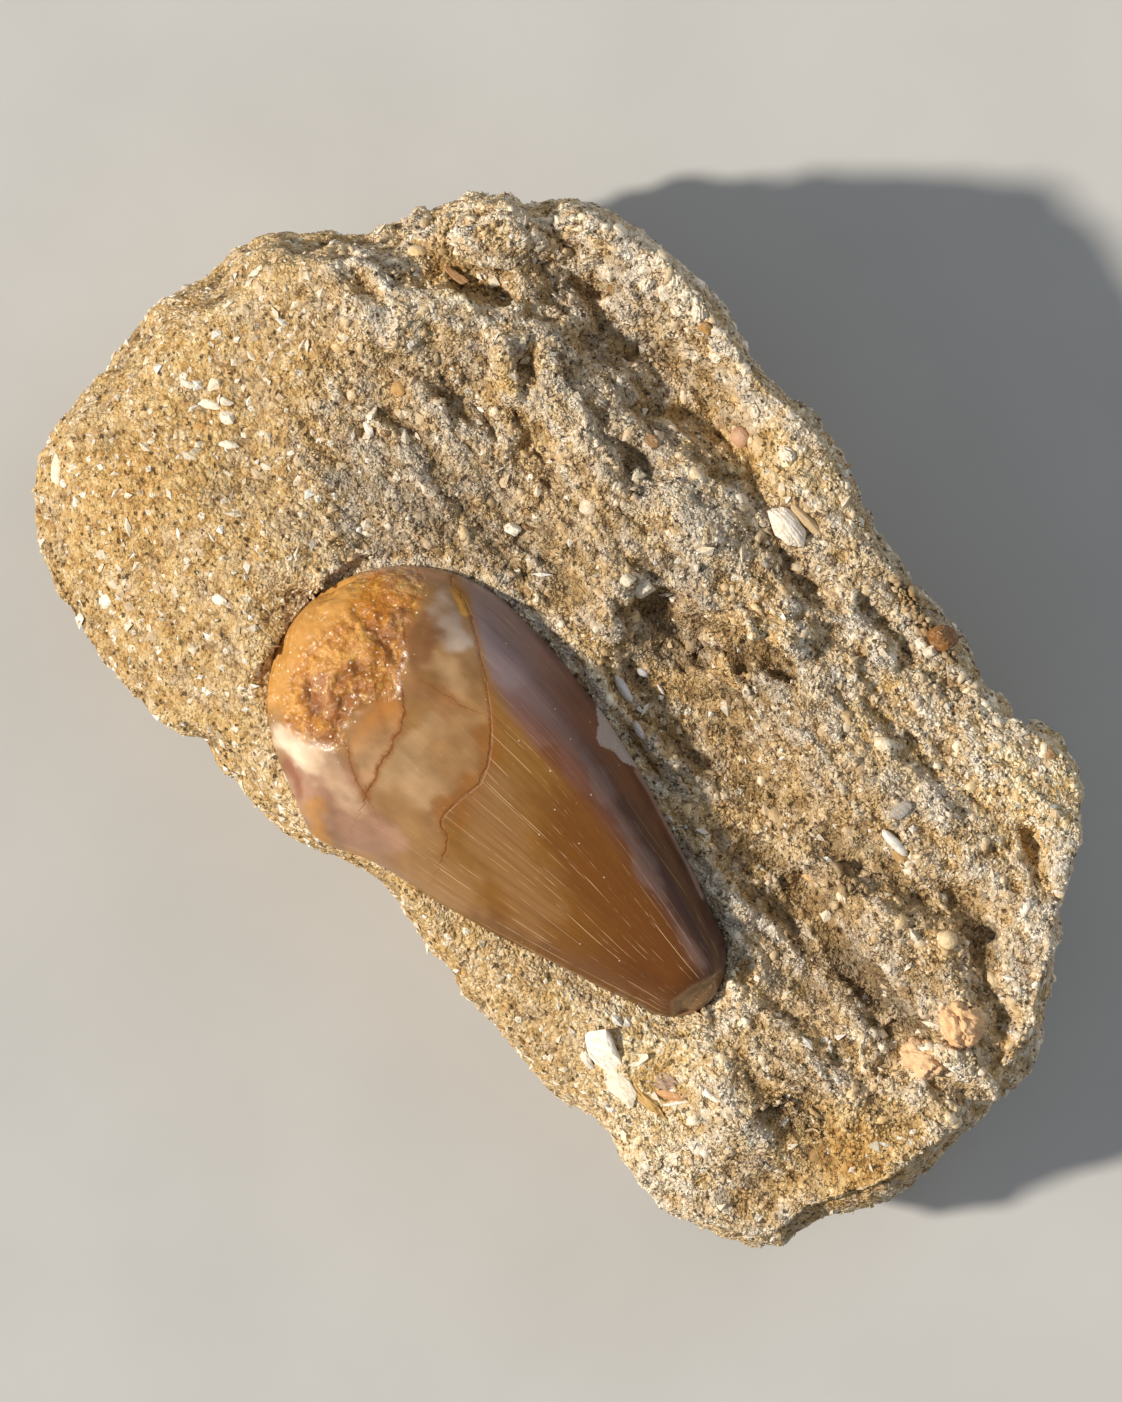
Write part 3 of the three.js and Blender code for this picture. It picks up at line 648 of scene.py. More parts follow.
def fine_wear(x, y, z):
    """Ragged grain in millimetres: crests where layered noise crosses 0, drawn out along the bedding, plus ledges
    that rise slowly across it and drop at once, plus rounded lumps of two sizes, which are highest at each cell's own
    point, plus some flat broken facets, less round pits."""
    smooth = np.maximum(lobe_share(x, y), 0.65 * crust_share(x, y))
    bent = [c + 0.5 * layered_noise(x + 50 * n, y, z, 2.4, 2) for n, c in enumerate((x, y, z))]
    pit, number = cell_distance(*bent, 1.8)
    bed = (y + 4.5 * layered_noise(x / 2.8, y, z, 5.0, 3)) / 4.2
    bed = bed - np.floor(bed)
    has_ledges = ease((layered_noise(x / 2.0, y + 70, z, 6.0, 2) - 0.05) / 0.4)
    layers = {
        "crests": 0.5 - np.abs(layered_noise(x / 3.0, y + 9, z, 6.0, 3)),
        "strata": 0.4 - np.abs(layered_noise(x / 6.0, y + 31, z, 2.2, 2)),
        "bedding": layered_noise(x / 2.2, y, z, 2.4, 3),
        "lumps": domes(bent[0] / 1.7, bent[1], bent[2], 2.6) - 0.65,
        "crumbs": domes(bent[0] / 1.3, bent[1], bent[2], 1.3) - 0.65,
        "facets": shards(bent[0] / 1.5, bent[1], bent[2], 1.7),
        "pits": hump(pit, 0.27) * (number > 0.5),
        "ledges": bed * ease((1 - bed) / 0.16) * has_ledges - 0.2,
        "grit": layered_noise(x, y, z, 2.2, 3),
    }
    ragged, even = (sum(height * layers[name] for name, height in grain.items())
                    for grain in (RAGGED_GRAIN, SMOOTH_GRAIN))
    ragged = ragged - RAGGED_SUNK
    beside_tooth = ease((tooth_surround(x, y)[1] + 0.1) / 1.2)
    off_patch = ease(z / 0.8)
    return beside_tooth * off_patch * (ragged + (even - ragged) * smooth)


normals = vertex_normals(skin, skin_triangles)
steepness = ease((0.75 - np.abs(normals[:, 2])) / 0.4)
skin = skin + normals * coarse_wear(*skin.T, steepness)[:, None]
skin = skin + vertex_normals(skin, skin_triangles) * fine_wear(*skin.T)[:, None]

# %% Press in the socket
LAP = 0.25  # the rock reaches this far in under the crown's edge, so that no slit shows round it
GRAIN_ROOM = 0.1  # kept free inside the box for the grains that stand on the skin
is_top = skin[:, 2] > CROWN_LEVEL / 2
outside_tooth = tooth_surround(skin[:, 0], skin[:, 1])[1]
in_socket = is_top & (outside_tooth < -LAP)
skin[in_socket, 2] = np.minimum(skin[in_socket, 2], socket_floor(*skin[in_socket, :2].T))
skin = np.clip(skin, BOX_LOW + GRAIN_ROOM * np.array([1, 1, 0]), BOX_HIGH - GRAIN_ROOM)
print("skin spans", np.round(skin.min(0), 2), "to", np.round(skin.max(0), 2))


def smoothed(points, triangles, passes):
    """Each pass moves every point to the mean of its neighbours."""
    start, end = triangles.ravel(), np.roll(triangles, -1, axis=1).ravel()
    neighbours = np.bincount(start, minlength=len(points))[:, None]
    for _ in range(passes):
        points = np.stack([np.bincount(start, points[end, axis], len(points)) for axis in range(3)], 1) / neighbours
    return points


# How far the skin stands proud of its smoothed self: above 0 on crests, below 0 in hollows. The stains make crests
# paler, partly rubbed clean and partly a painted highlight, and hollows darker, partly dirt and partly painted shade.
# For each of two smoothings, the passes and the rise that counts as a full crest.
CREST_SCALES = [(8, 0.28), (60, 1.8)]
normals = vertex_normals(skin, skin_triangles)
skin_crest = np.clip(sum(((skin - smoothed(skin, skin_triangles, passes)) * normals).sum(1) / full
                         for passes, full in CREST_SCALES), -1, 1)
print("crest share:", np.round(np.percentile(skin_crest, (5, 25, 50, 75, 95)), 2))

# %% [markdown]
# ## Where the rock is ochre and where it is grey
#
# Iron stains the rock ochre and washed parts are grey. Both are kept as numbers on the mesh, worked out from a list of
# patches and some noise, so that the skin and the grains that stand on it agree on their colour. A third number darkens
# the rock: dirt, and painted shade in the hollows and beside the tooth.

# %% Stains
# Middle, size across and strength of each patch.
OCHRE_PATCHES = [
    (44, -13.8, 4.2, 1.3), (28, -21.5, 3, 0.8), (-3.6, 22, 3, 0.8), (32.8, 19.9, 4, 0.5),
    (-23.6, 11.5, 1.5, 0.6), (-31, 15.5, 2, 0.6),
    (6.9, 4.9, 3.5, 0.5), (6.3, 10.3, 3.5, 0.5), (-9.3, 19.9, 3, 0.5), (-33.4, 14.5, 2, 0.9),
    (-18.9, 9.1, 3, 0.3), (18.3, 15.1, 3, 0.4), (41.8, 1.3, 3, 0.4), (-38.8, -15.5, 6, 0.5),
]
GREY_PATCHES = [
    (-18, 27, 3.5, 0.8), (-8, 25.5, 3, 0.6),
    (-4.9, 14.3, 4.5, 0.9), (36.1, -20.6, 4.5, 0.9), (10.5, 21.7, 5, 0.5), (-19.5, 21.7, 6, 0.6),
    (-11.1, 21.7, 4, 0.5), (-25.5, -7.1, 5, 0.6), (-23.1, -1.1, 5, 0.4), (8.1, -1.5, 4, 0.5),
    (20.7, -5, 5, 0.5), (26.2, 12.3, 4, 0.5), (14.1, 17.5, 4, 0.4), (47, -12, 3, 0.4),
]
# Width, strength and path of rock that is darkened (above 0) or washed pale (below 0). The darkening is dirt, and on
# the trough wall, round the deep hollow and on the shelf it is painted shade.
DIRT_AND_SHADE_PATHS = {
    "shoulder": (4.5, 0.25, [(-24, 7), (-15, 5), (-9, 6.5)]),
    "above the tooth": (4, 0.4, [(-26, -1.5), (-19.5, -1), (-13, 0.5)]),
    "valley floor": (4, -0.15, [(-25, 20), (-17, 20.5), (-9, 19.5)]),
    # The next three are painted shade on the trough's wall and in and round the deep hollow.
    "trough wall": (2.6, 0.1, [(1, 5), (8, 4), (15, 4), (21, 4)]),
    "hollow rim": (2.2, 0.5, [(1, 10), (9, 9)]),
    "hollow": (1.8, 0.7, [(0.5, 7.1), (3.6, 6.6)]),
    "plateau": (3, 0.4, [(30, -3), (39, -2.5)]),
    "shelf shade": (2.4, 0.8, [(-10.5, 15.5), (-9, 12.5)]),
    "east lump": (5, -1.2, [(31, 19), (36, 18), (42, 14)]),
    "back rim": (3, -0.45, [(-23, 28), (-10, 27), (2, 23), (20, 19), (31, 21)]),
    "far slope": (4.5, -0.5, [(13, 15), (26, 13), (34, 8)]),
    "foot": (5, -1, [(25, -12), (29, -20), (33, -25)]),
    "foot swell": (3.5, -0.9, [(21, -20), (27, -25.5), (36, -27)]),
    "crown crust": (2.6, -0.7, [(-38, 11), (-34, 8.5), (-31, 13.8), (-26, 16)]),
    "crown edge": (2.4, -0.6, [(-37, 16), (-31, 24), (-24, 28)]),
    "shelf crust": (3, -0.5, [(-7, 15), (-1, 14.5), (5, 11)]),
    "foot corner": (3, -0.4, [(38, -8), (46, -2), (47, 5)]),
    "mouth": (3, -0.6, [(-9, -2), (2, -1)]),
}


def patches(x, y, table):
    """The sum of a bell for each patch of a table."""
    return sum(strength * hump(np.hypot(x - px, y - py), size) for px, py, size, strength in table)


def stains(x, y, z, crest):
    """Ochre, grey and darkening shares: the smooth rock's own warmth, plus a bell for each patch, plus broad noise. The
    darkening is dirt and painted shade, most in the hollows; crests are paler, partly as a painted highlight."""
    smooth = lobe_share(x, y)
    rough = 1 - smooth
    # In hollows, where crest is below 0, ochre and darkening grow; on crests grey grows and darkening falls below 0:
    # partly stain, dirt and rubbing, partly painted shade in the hollows and a painted highlight on the crests.
    ochre = 0.10 + 0.52 * smooth + 0.26 * layered_noise(x, y, z, 8, 3) + 0.5 * rough * np.maximum(0, -crest)
    grey = 0.22 * rough + 0.25 * layered_noise(x / 1.8, y + 40, z, 7, 3) + 0.5 * rough * np.maximum(0, crest)
    dirt_and_shade = 0.25 * layered_noise(x / 1.5, y + 80, z, 6, 3) * rough
    ochre, grey = ochre + patches(x, y, OCHRE_PATCHES), grey + patches(x, y, GREY_PATCHES)
    for width, strength, path in DIRT_AND_SHADE_PATHS.values():
        dirt_and_shade = dirt_and_shade + strength * hump(path_distance(x, y, path), width)
    return {"ochre": np.clip(ochre, 0, 1.5), "grey": np.clip(grey - 0.3 * ochre, 0, 1), "ragged": rough,
            "dirt_and_shade": np.clip(0.8 * dirt_and_shade + 0.04 - 0.75 * np.where(crest < 0, crest, 0.6 * crest), -1, 1)}


# %% Put arrays into a mesh
def make_piece(name, points, triangles, material, marks, slot="sandstone", node="matrix", is_smooth=True):
    """A closed mesh from arrays in millimetres, with named numbers kept on its points, riding on the block."""
    mesh = bpy.data.meshes.new(name)
    mesh.vertices.add(len(points))
    mesh.loops.add(3 * len(triangles))
    mesh.polygons.add(len(triangles))
    mesh.vertices.foreach_set("co", (points * MM).astype(np.float32).ravel())
    mesh.loops.foreach_set("vertex_index", triangles.astype(np.int32).ravel())
    mesh.polygons.foreach_set("loop_start", np.arange(0, 3 * len(triangles), 3, dtype=np.int32))
    mesh.polygons.foreach_set("use_smooth", np.broadcast_to(is_smooth, len(triangles)).copy())
    mesh.update(calc_edges=True)
    for label, values in marks.items():
        values = np.asarray(values, np.float32)
        if values.ndim == 1:
            mesh.attributes.new(label, "FLOAT", "POINT").data.foreach_set("value", values)
        else:
            colour = np.column_stack([values, np.ones(len(values), np.float32)])
            mesh.attributes.new(label, "FLOAT_COLOR", "POINT").data.foreach_set("color", colour.ravel())
    mesh.materials.append(material)
    piece = add_object(name, mesh)
    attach(piece, "root")
    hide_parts(node)
    print(f"{name}: {len(triangles)} triangles")


# %% [markdown]
# ## Node helpers
#
# A material is a tree of nodes. These helpers add one node each and join it to what it reads, so that a material
# reads like a sum.


# %% Node helpers
# Each helper adds its node to the tree that the name tree stands for, which is the one that was opened last.
def feed(socket, value):
    """Joins a socket to another, or sets its value."""
    if isinstance(value, bpy.types.NodeSocket):
        tree.links.new(value, socket)
    elif value is not None:
        socket.default_value = value


def add_node(kind, inputs=(), **settings):
    """Adds a node with its settings. Its inputs are given in their order, or by name or number."""
    made = tree.nodes.new("ShaderNode" + kind)
    for name, value in settings.items():
        setattr(made, name, value)
    for name, value in inputs.items() if isinstance(inputs, dict) else enumerate(inputs):
        feed(made.inputs[name], value)
    return made


def calc(operation, *values, clamp=False):
    return add_node("Math", values, operation=operation, use_clamp=clamp).outputs[0]


def plus(a, b, clamp=False):
    return calc("ADD", a, b, clamp=clamp)


def minus(a, b, clamp=False):
    return calc("SUBTRACT", a, b, clamp=clamp)


def times(a, b, clamp=False):
    return calc("MULTIPLY", a, b, clamp=clamp)


def times_plus(a, b, c, clamp=False):
    """a times b, plus c."""
    return calc("MULTIPLY_ADD", a, b, c, clamp=clamp)


def larger(a, b):
    return calc("MAXIMUM", a, b)


def size_of(a):
    """A number without its sign."""
    return calc("ABSOLUTE", a)


def between(value, low, high, to_low=0.0, to_high=1.0):
    """Eases from to_low to to_high as the value goes from low to high."""
    return add_node("MapRange", (value, low, high, to_low, to_high), interpolation_type="SMOOTHSTEP").outputs[0]


def blend(factor, a, b):
    """Mixes two colours."""
    a, b = ((*colour, 1.0) if isinstance(colour, tuple) else colour for colour in (a, b))
    return add_node("Mix", {0: factor, 6: a, 7: b}, data_type="RGBA").outputs[2]


def layer(under, colour, pattern, low, high, strength, where=None):
    """Lays a colour over another, from none of it to the strength as the pattern goes from low to high."""
    cover = between(pattern, low, high, 0.0, strength)
    return blend(cover if where is None else times(cover, where), under, colour)


def ramp(value, *stops):
    """A colour that changes through stops of (position, colour) as the value goes from 0 to 1."""
    made = add_node("ValToRGB", [value])
    elements = made.color_ramp.elements
    while len(elements) < len(stops):
        elements.new(0.5)
    for element, (position, colour) in zip(elements, stops):
        element.position, element.color = position, (*colour, 1.0)
    return made.outputs[0]


def noise(place, scale, detail=3.0, roughness=0.55):
    """Layered noise from 0 to 1, scale to the millimetre."""
    inputs = {"Vector": place, "Scale": scale, "Detail": detail, "Roughness": roughness}
    return add_node("TexNoise", inputs).outputs["Fac"]


def cells(place, scale, feature="F1", randomness=1.0):
    """Cells round random points: the distance to the point or the border, and each cell's place and colour."""
    inputs = {"Vector": place, "Scale": scale, "Randomness": randomness}
    return add_node("TexVoronoi", inputs, feature=feature).outputs


def mark(name, output="Fac"):
    """A number or colour kept on the mesh."""
    return add_node("Attribute", attribute_name=name).outputs[output]


def vector(operation, *values):
    return add_node("VectorMath", values, operation=operation).outputs


def stretched(place, scale):
    """A place with its axes scaled."""
    return vector("MULTIPLY", place, scale)[0]


def warp(place, scale, reach):
    """A place pushed about by noise, so that a pattern's cells lose their plain sides."""
    pushes = add_node("TexNoise", {"Vector": place, "Scale": scale}).outputs["Color"]
    return vector("MULTIPLY_ADD", pushes, (reach,) * 3, place)[0]


def first_of(colour):
    """The red share of a colour, which in a cell pattern is the cell's own random number."""
    return add_node("SeparateColor", [colour]).outputs[0]


def facets(place, scale):
    """Cells with a flat facet each, tilted at random: the cell's colour, less a half, times the way from its point."""
    cell = cells(place, scale)
    away, slope = vector("SUBTRACT", place, cell["Position"])[0], vector("SUBTRACT", cell["Color"], (0.5,) * 3)[0]
    return cell, vector("DOT_PRODUCT", away, slope)["Value"]


def bumped(height, strength, distance, after=None):
    """The normal of a surface raised by height times distance, in metres."""
    return add_node("Bump", {"Strength": strength, "Distance": distance, "Height": height, "Normal": after}).outputs[0]


def new_group(name, inputs, outputs):
    """An empty node group with named inputs and outputs, each given as name: kind, and the sockets within it."""
    group = bpy.data.node_groups.new(name, "ShaderNodeTree")
    for side, sockets in (("INPUT", inputs), ("OUTPUT", outputs)):
        for socket, kind in sockets.items():
            group.interface.new_socket(socket, in_out=side, socket_type="NodeSocket" + kind)
    return group, group.nodes.new("NodeGroupInput").outputs, group.nodes.new("NodeGroupOutput").inputs


def use_group(group, **values):
    """A group's outputs, with its inputs given by name."""
    return add_node("Group", {name.capitalize(): value for name, value in values.items()}, node_tree=group).outputs


def new_material(name, **constants):
    """A material, its tree and its shader's sockets; constants go on the shader's own sockets."""
    material = bpy.data.materials.new(name)
    material.use_nodes = True
    sockets = material.node_tree.nodes["Principled BSDF"].inputs
    for socket, value in constants.items():
        sockets[socket.replace("_", " ")].default_value = value
    return material, material.node_tree, sockets


def object_millimetres():
    return stretched(add_node("TexCoord").outputs["Object"], (1 / MM,) * 3)


# %% [markdown]
# ## Colours of the sand
#
# Every grain of the rock is a crumb of something else: quartz, phosphate, shell or bone. One node group turns a
# random number, the tone of a grain, into its colour, for warm, plain and grey rock. The skin uses it for the small
# crumbs that it paints and the sand uses it for the grains that stand out, so both are of one kind.

# %% Sand colour group
tree, given, result = new_group("sand colour", {
    "Place": "Vector", "Tone": "Float", "Ochre": "Float", "Grey": "Float", "Dirt_and_shade": "Float"}, {"Colour": "Color"})
sand_colour = tree
place = given["Place"]
patchy, washed = noise(place, 0.45, 3.0, 0.6), noise(stretched(place, (0.5, 1.0, 1.0)), 0.6, 3.0, 0.6)
ochre_share, grey_share = (plus(given[name], between(wide, 0.32, 0.68, -0.5, 0.5), clamp=True)
                           for name, wide in (("Ochre", patchy), ("Grey", washed)))
# Darkening below 0 makes the tone paler: washed rock, and crests, which are in part a painted highlight.
tone = minus(given["Tone"], times(calc("MINIMUM", given["Dirt_and_shade"], 0.0), 0.32))  # washed rock is paler
clumps = noise(place, 0.85, 2.0, 0.7)
tone = plus(tone, between(clumps, 0.3, 0.7, -0.20, 0.20), clamp=True)
TONES = (0.0, 0.2, 0.45, 0.75, 1.0)  # where the colours below stand, from the darkest grain to the palest
plain, ochre, grey = (ramp(tone, *zip(TONES, colours)) for colours in (
    ((0.090, 0.050, 0.025), (0.345, 0.220, 0.105), (0.575, 0.395, 0.205), (0.745, 0.555, 0.330), (0.94, 0.80, 0.58)),
    ((0.13, 0.060, 0.020), (0.44, 0.245, 0.080), (0.62, 0.395, 0.155), (0.75, 0.54, 0.27), (0.92, 0.79, 0.55)),
    ((0.090, 0.066, 0.047), (0.36, 0.285, 0.205), (0.54, 0.445, 0.33), (0.71, 0.605, 0.47), (0.92, 0.83, 0.70))))
mixed = blend(ochre_share, blend(grey_share, plain, grey), ochre)
rust = blend(tone, (0.33, 0.13, 0.02), (0.82, 0.52, 0.17))
mixed = layer(mixed, rust, given["Ochre"], 0.9, 1.5, 0.75)
# The darkening blends towards this near black brown: dirt, and painted shade in hollows and beside the tooth.
DIRT_AND_SHADE = (0.085, 0.056, 0.034)
feed(result["Colour"], blend(times(given["Dirt_and_shade"], 0.62, clamp=True), mixed, DIRT_AND_SHADE))

# %% Speckle group
# The painted crumbs: facets of about a third of a millimetre at odd tilts, pale flakes, and dark pores and a few
# broken dark seams, which are painted shade in the holes and gaps between crumbs. The height is in millimetres.
tree, given, result = new_group("speckle", {"Place": "Vector", "Ragged": "Float"},
                                dict.fromkeys(("Tone", "Pore_shade", "Pore_and_gap_shade", "Flake", "Height"), "Float"))
speckle = tree
place, ragged = given["Place"], given["Ragged"]
warped = warp(place, 1.4, 0.55)
fine, broken = noise(place, 4.5, 3.0, 0.65), noise(place, 0.9, 3.0, 0.7)
crumb, crumb_height = facets(warped, 2.6)
shard_height = facets(warped, 0.95)[1]
feed(result["Tone"], minus(times_plus(first_of(crumb["Color"]), 0.36, times(fine, 0.7)), 0.01, clamp=True))


def shaded_seams(push, scale, drift, low, high, width, core):
    """Lines of dark colour along the borders of cells, painted shade in the gaps between crumbs, as wide as the
    drift is far on from low to high.
    """
    border = cells(warp(place, *push), scale, "DISTANCE_TO_EDGE")["Distance"]
    reach = between(drift, low, high, 0.0, width)
    return between(border, plus(reach, 0.005), times_plus(reach, core, -0.02))


pore = cells(warp(place, 3.2, 0.55), 1.9)
pore_size = between(first_of(pore["Color"]), 0.58, 1.0, 0.0, 0.46)
pore_shade = between(pore["Distance"], plus(pore_size, 0.04), times(pore_size, 0.6))
gap_shade = larger(shaded_seams((0.9, 1.2), 0.8, broken, 0.56, 0.74, 0.10, 0.4),
              shaded_seams((1.7, 0.7), 1.7, noise(place, 1.3, 3.0, 0.7), 0.47, 0.70, 0.15, 0.45))
# Painted shade: the pores, and the gaps between crumbs, more of them on ragged rock.
dark = larger(pore_shade, times(gap_shade, times_plus(ragged, 0.45, 0.45)))
feed(result["Pore_shade"], pore_shade)
feed(result["Pore_and_gap_shade"], dark)
flake = cells(warped, 1.15, randomness=0.9)
feed(result["Flake"], times(between(first_of(flake["Color"]), 0.93, 0.96), between(flake["Distance"], 0.40, 0.34)))
height = times(crumb_height, 0.22)
for pattern, weight in (
        (crumb["Distance"], -0.26), (cells(warped, 1.15)["Distance"], times_plus(ragged, -0.3, -0.1)),
        (shard_height, times_plus(ragged, 0.16, 0.06)), (fine, 0.16), (broken, times_plus(ragged, 0.5, 0.2)),
        (dark, -0.32)):
    height = times_plus(pattern, weight, height)
feed(result["Height"], height)

# %% [markdown]
# ## Sandstone
#
# The skin between the grains. Its tone is a little lower than the sand's, as painted shade in the gaps, and it
# carries the pores, painted in a shade colour, and the smallest crumbs.

# %% Sandstone material
PORE_SHADE_COLOUR, FLAKE_COLOUR = (0.075, 0.042, 0.022), (0.88, 0.80, 0.66)


def rock_paint(tone):
    """The sand colour of a tone, with the stains, dirt and painted shade that are kept on the mesh."""
    return use_group(sand_colour, place=place, tone=tone, **{name: mark(name) for name in ("ochre", "grey", "dirt_and_shade")})[0]


sandstone, tree, shader = new_material("sandstone", Roughness=0.92, Specular_IOR_Level=0.25)
place = object_millimetres()
crumbs = use_group(speckle, place=place, ragged=mark("ragged"))
# A tone 0.05 lower than the grains', and near black pores and gaps: painted shade between the grains.
colour = rock_paint(minus(crumbs["Tone"], 0.05, clamp=True))
colour = blend(times(crumbs["Pore_and_gap_shade"], 0.85), colour, PORE_SHADE_COLOUR)
feed(shader["Base Color"], blend(crumbs["Flake"], colour, FLAKE_COLOUR))
feed(shader["Roughness"], between(crumbs["Tone"], 0.0, 1.0, 0.98, 0.8))
feed(shader["Normal"], bumped(crumbs["Height"], 1.0, MM))
make_piece("matrix_skin", skin, skin_triangles, sandstone, stains(*skin.T, skin_crest))

# %% [markdown]
# ## Sand grains
#
# The rock's bite comes from real grains that catch the light and throw small shadows. Each is a crumb with eight or
# twenty faces, its corners pushed in and out at random, stretched, turned and half sunk in the skin. Tens of
# thousands of them are worked out at once and joined into a few meshes.

# %% Scatter
rng = np.random.default_rng(41)
GOLDEN = (1 + 5**0.5) / 2
ICOSAHEDRON = (
    np.array([(-1, GOLDEN, 0), (1, GOLDEN, 0), (-1, -GOLDEN, 0), (1, -GOLDEN, 0), (0, -1, GOLDEN), (0, 1, GOLDEN),
              (0, -1, -GOLDEN), (0, 1, -GOLDEN), (GOLDEN, 0, -1), (GOLDEN, 0, 1), (-GOLDEN, 0, -1), (-GOLDEN, 0, 1)])
    / math.hypot(1, GOLDEN),
    np.array([(0, 11, 5), (0, 5, 1), (0, 1, 7), (0, 7, 10), (0, 10, 11), (1, 5, 9), (5, 11, 4), (11, 10, 2), (10, 7, 6),
              (7, 1, 8), (3, 9, 4), (3, 4, 2), (3, 2, 6), (3, 6, 8), (3, 8, 9), (4, 9, 5), (2, 4, 11), (6, 2, 10),
              (8, 6, 7), (9, 8, 1)]),
)
OCTAHEDRON = (
    np.array([(1, 0, 0), (-1, 0, 0), (0, 1, 0), (0, -1, 0), (0, 0, 1), (0, 0, -1)], float),
    np.array([(0, 2, 4), (2, 1, 4), (1, 3, 4), (3, 0, 4), (2, 0, 5), (1, 2, 5), (3, 1, 5), (0, 3, 5)]),
)
NOT_NEAR = 99.0  # stands for the distance to the tooth on the underside, where it doesn't matter
corner_a, corner_b, corner_c = (skin[skin_triangles[:, n]] for n in range(3))
flat = np.cross(corner_b - corner_a, corner_c - corner_a)
skin_area = np.linalg.norm(flat, axis=1) / 2
skin_facing = flat / np.maximum(2 * skin_area, 1e-12)[:, None]
skin_middle = (corner_a + corner_b + corner_c) / 3
face_crest = skin_crest[skin_triangles].mean(axis=1)
skin_outside = np.where(skin_middle[:, 2] > CROWN_LEVEL / 2,
                        tooth_surround(skin_middle[:, 0], skin_middle[:, 1])[1], NOT_NEAR)


def scatter(count, weight):
    """Places on the skin: triangles chosen with a chance of area times weight, and a random point in each, with the
    facing and the crest share there."""
    total = np.cumsum(skin_area * weight)
    chosen = np.searchsorted(total, rng.random(count) * total[-1])
    u, v = rng.random((2, count))
    over = u + v > 1
    u, v = np.where(over, 1 - u, u)[:, None], np.where(over, 1 - v, v)[:, None]
    place = corner_a[chosen] * (1 - u - v) + corner_b[chosen] * u + corner_c[chosen] * v
    return place, skin_facing[chosen], face_crest[chosen]


def laid_flat(facing, tilt, along=0.0):
    """Turns that lay a form's third axis along the facing, tipped by a random tilt, with a random heading. The larger
    along is, the more of the first axes point along the block."""
    third = facing + tilt * rng.normal(size=facing.shape)
    third /= np.linalg.norm(third, axis=1)[:, None]
    first = np.cross(rng.normal(size=facing.shape) + (0, along, 0), third)
    first /= np.linalg.norm(first, axis=1)[:, None]
    return np.stack([first, np.cross(third, first), third], axis=2)


def crumbs_at(form, place, sizes, turns, ragged):
    """Copies of a form: corners pushed by a random share, stretched by the three sizes, turned, and moved."""
    corners, faces = form
    pushed = corners[None] * (1 + ragged * (rng.random((len(place), len(corners), 1)) * 2 - 1))
    points = (np.einsum("nij,nkj->nki", turns, pushed * sizes[:, None]) + place[:, None]).reshape(-1, 3)
    triangles = (faces[None] + len(corners) * np.arange(len(place))[:, None, None]).reshape(-1, 3)
    return points, triangles


def keep_in_box(points):
    """Points moved to the nearest place in the box."""
    return np.clip(points, BOX_LOW, BOX_HIGH)


def marks_of(place, corners, crest, **more):
    """Stains and other numbers of each crumb, repeated for its corners."""
    marks = {**stains(*place.T, crest), **more}
    return {name: np.repeat(values, corners, axis=0) for name, values in marks.items()}


# %% Sand material
sand, tree, shader = new_material("sand grains", Roughness=0.7, Specular_IOR_Level=0.4)
place = object_millimetres()
crumbs = use_group(speckle, place=place, ragged=mark("ragged"))
mottle = noise(place, 4.0, 2.0)
tone = plus(mark("tone"), between(mottle, 0.3, 0.7, -0.09, 0.09), clamp=True)
# The pores on the grains are painted shade too.
feed(shader["Base Color"], blend(times(crumbs["Pore_shade"], 0.8), rock_paint(tone), PORE_SHADE_COLOUR))
feed(shader["Roughness"], between(tone, 0.0, 1.0, 0.85, 0.5))
feed(shader["Normal"], bumped(mottle, 0.6, 0.00015))

# %% Fine and middling grains
FINE_GRAINS, MIDDLE_GRAINS, NODULES = 20000, 23000, 2000
faces_up = ease((skin_middle[:, 2] - 2.0) / 6)  # few grains on the underside
off_tooth = skin_outside > 0.15
well_off_tooth = (0.05 + faces_up) * (skin_outside > 0.8)
rim_share = hump(path_distance(*skin_middle[:, :2].T, DIRT_AND_SHADE_PATHS["back rim"][2]), 3.0)
ragged_rock = 1 - np.maximum(*(share(*skin_middle[:, :2].T) for share in (lobe_share, crust_share)))


def make_grains(name, count, form, weight, radius, stretch, lift, lowest, lay, push, tones):
    """Grains of one kind. radius is the least, the spread and the power that makes large ones rare. lift is by how
    many radii a grain's middle stands out, the least and the spread. lay is the tilt and how much they lie along the
    block, push the corners' random share, lowest the height below which there are none, tones the middle and spread."""
    place, facing, crest = scatter(count, weight)
    radius = radius[0] + radius[1] * rng.random(count) ** radius[2]
    sizes = radius[:, None] * np.array(stretch) * (0.75 + 0.5 * rng.random((count, 3)))
    place = place + facing * (radius * (lift[0] + lift[1] * rng.random(count)))[:, None]
    keep = place[:, 2] > lowest
    place, facing, crest, sizes = (values[keep] for values in (place, facing, crest, sizes))
    points, triangles = crumbs_at(form, place, sizes, laid_flat(facing, *lay), push)
    tone = np.clip(rng.normal(*tones, len(place)), 0, 1)
    make_piece(name, keep_in_box(points), triangles, sand, marks_of(place, len(form[0]), crest, tone=tone))


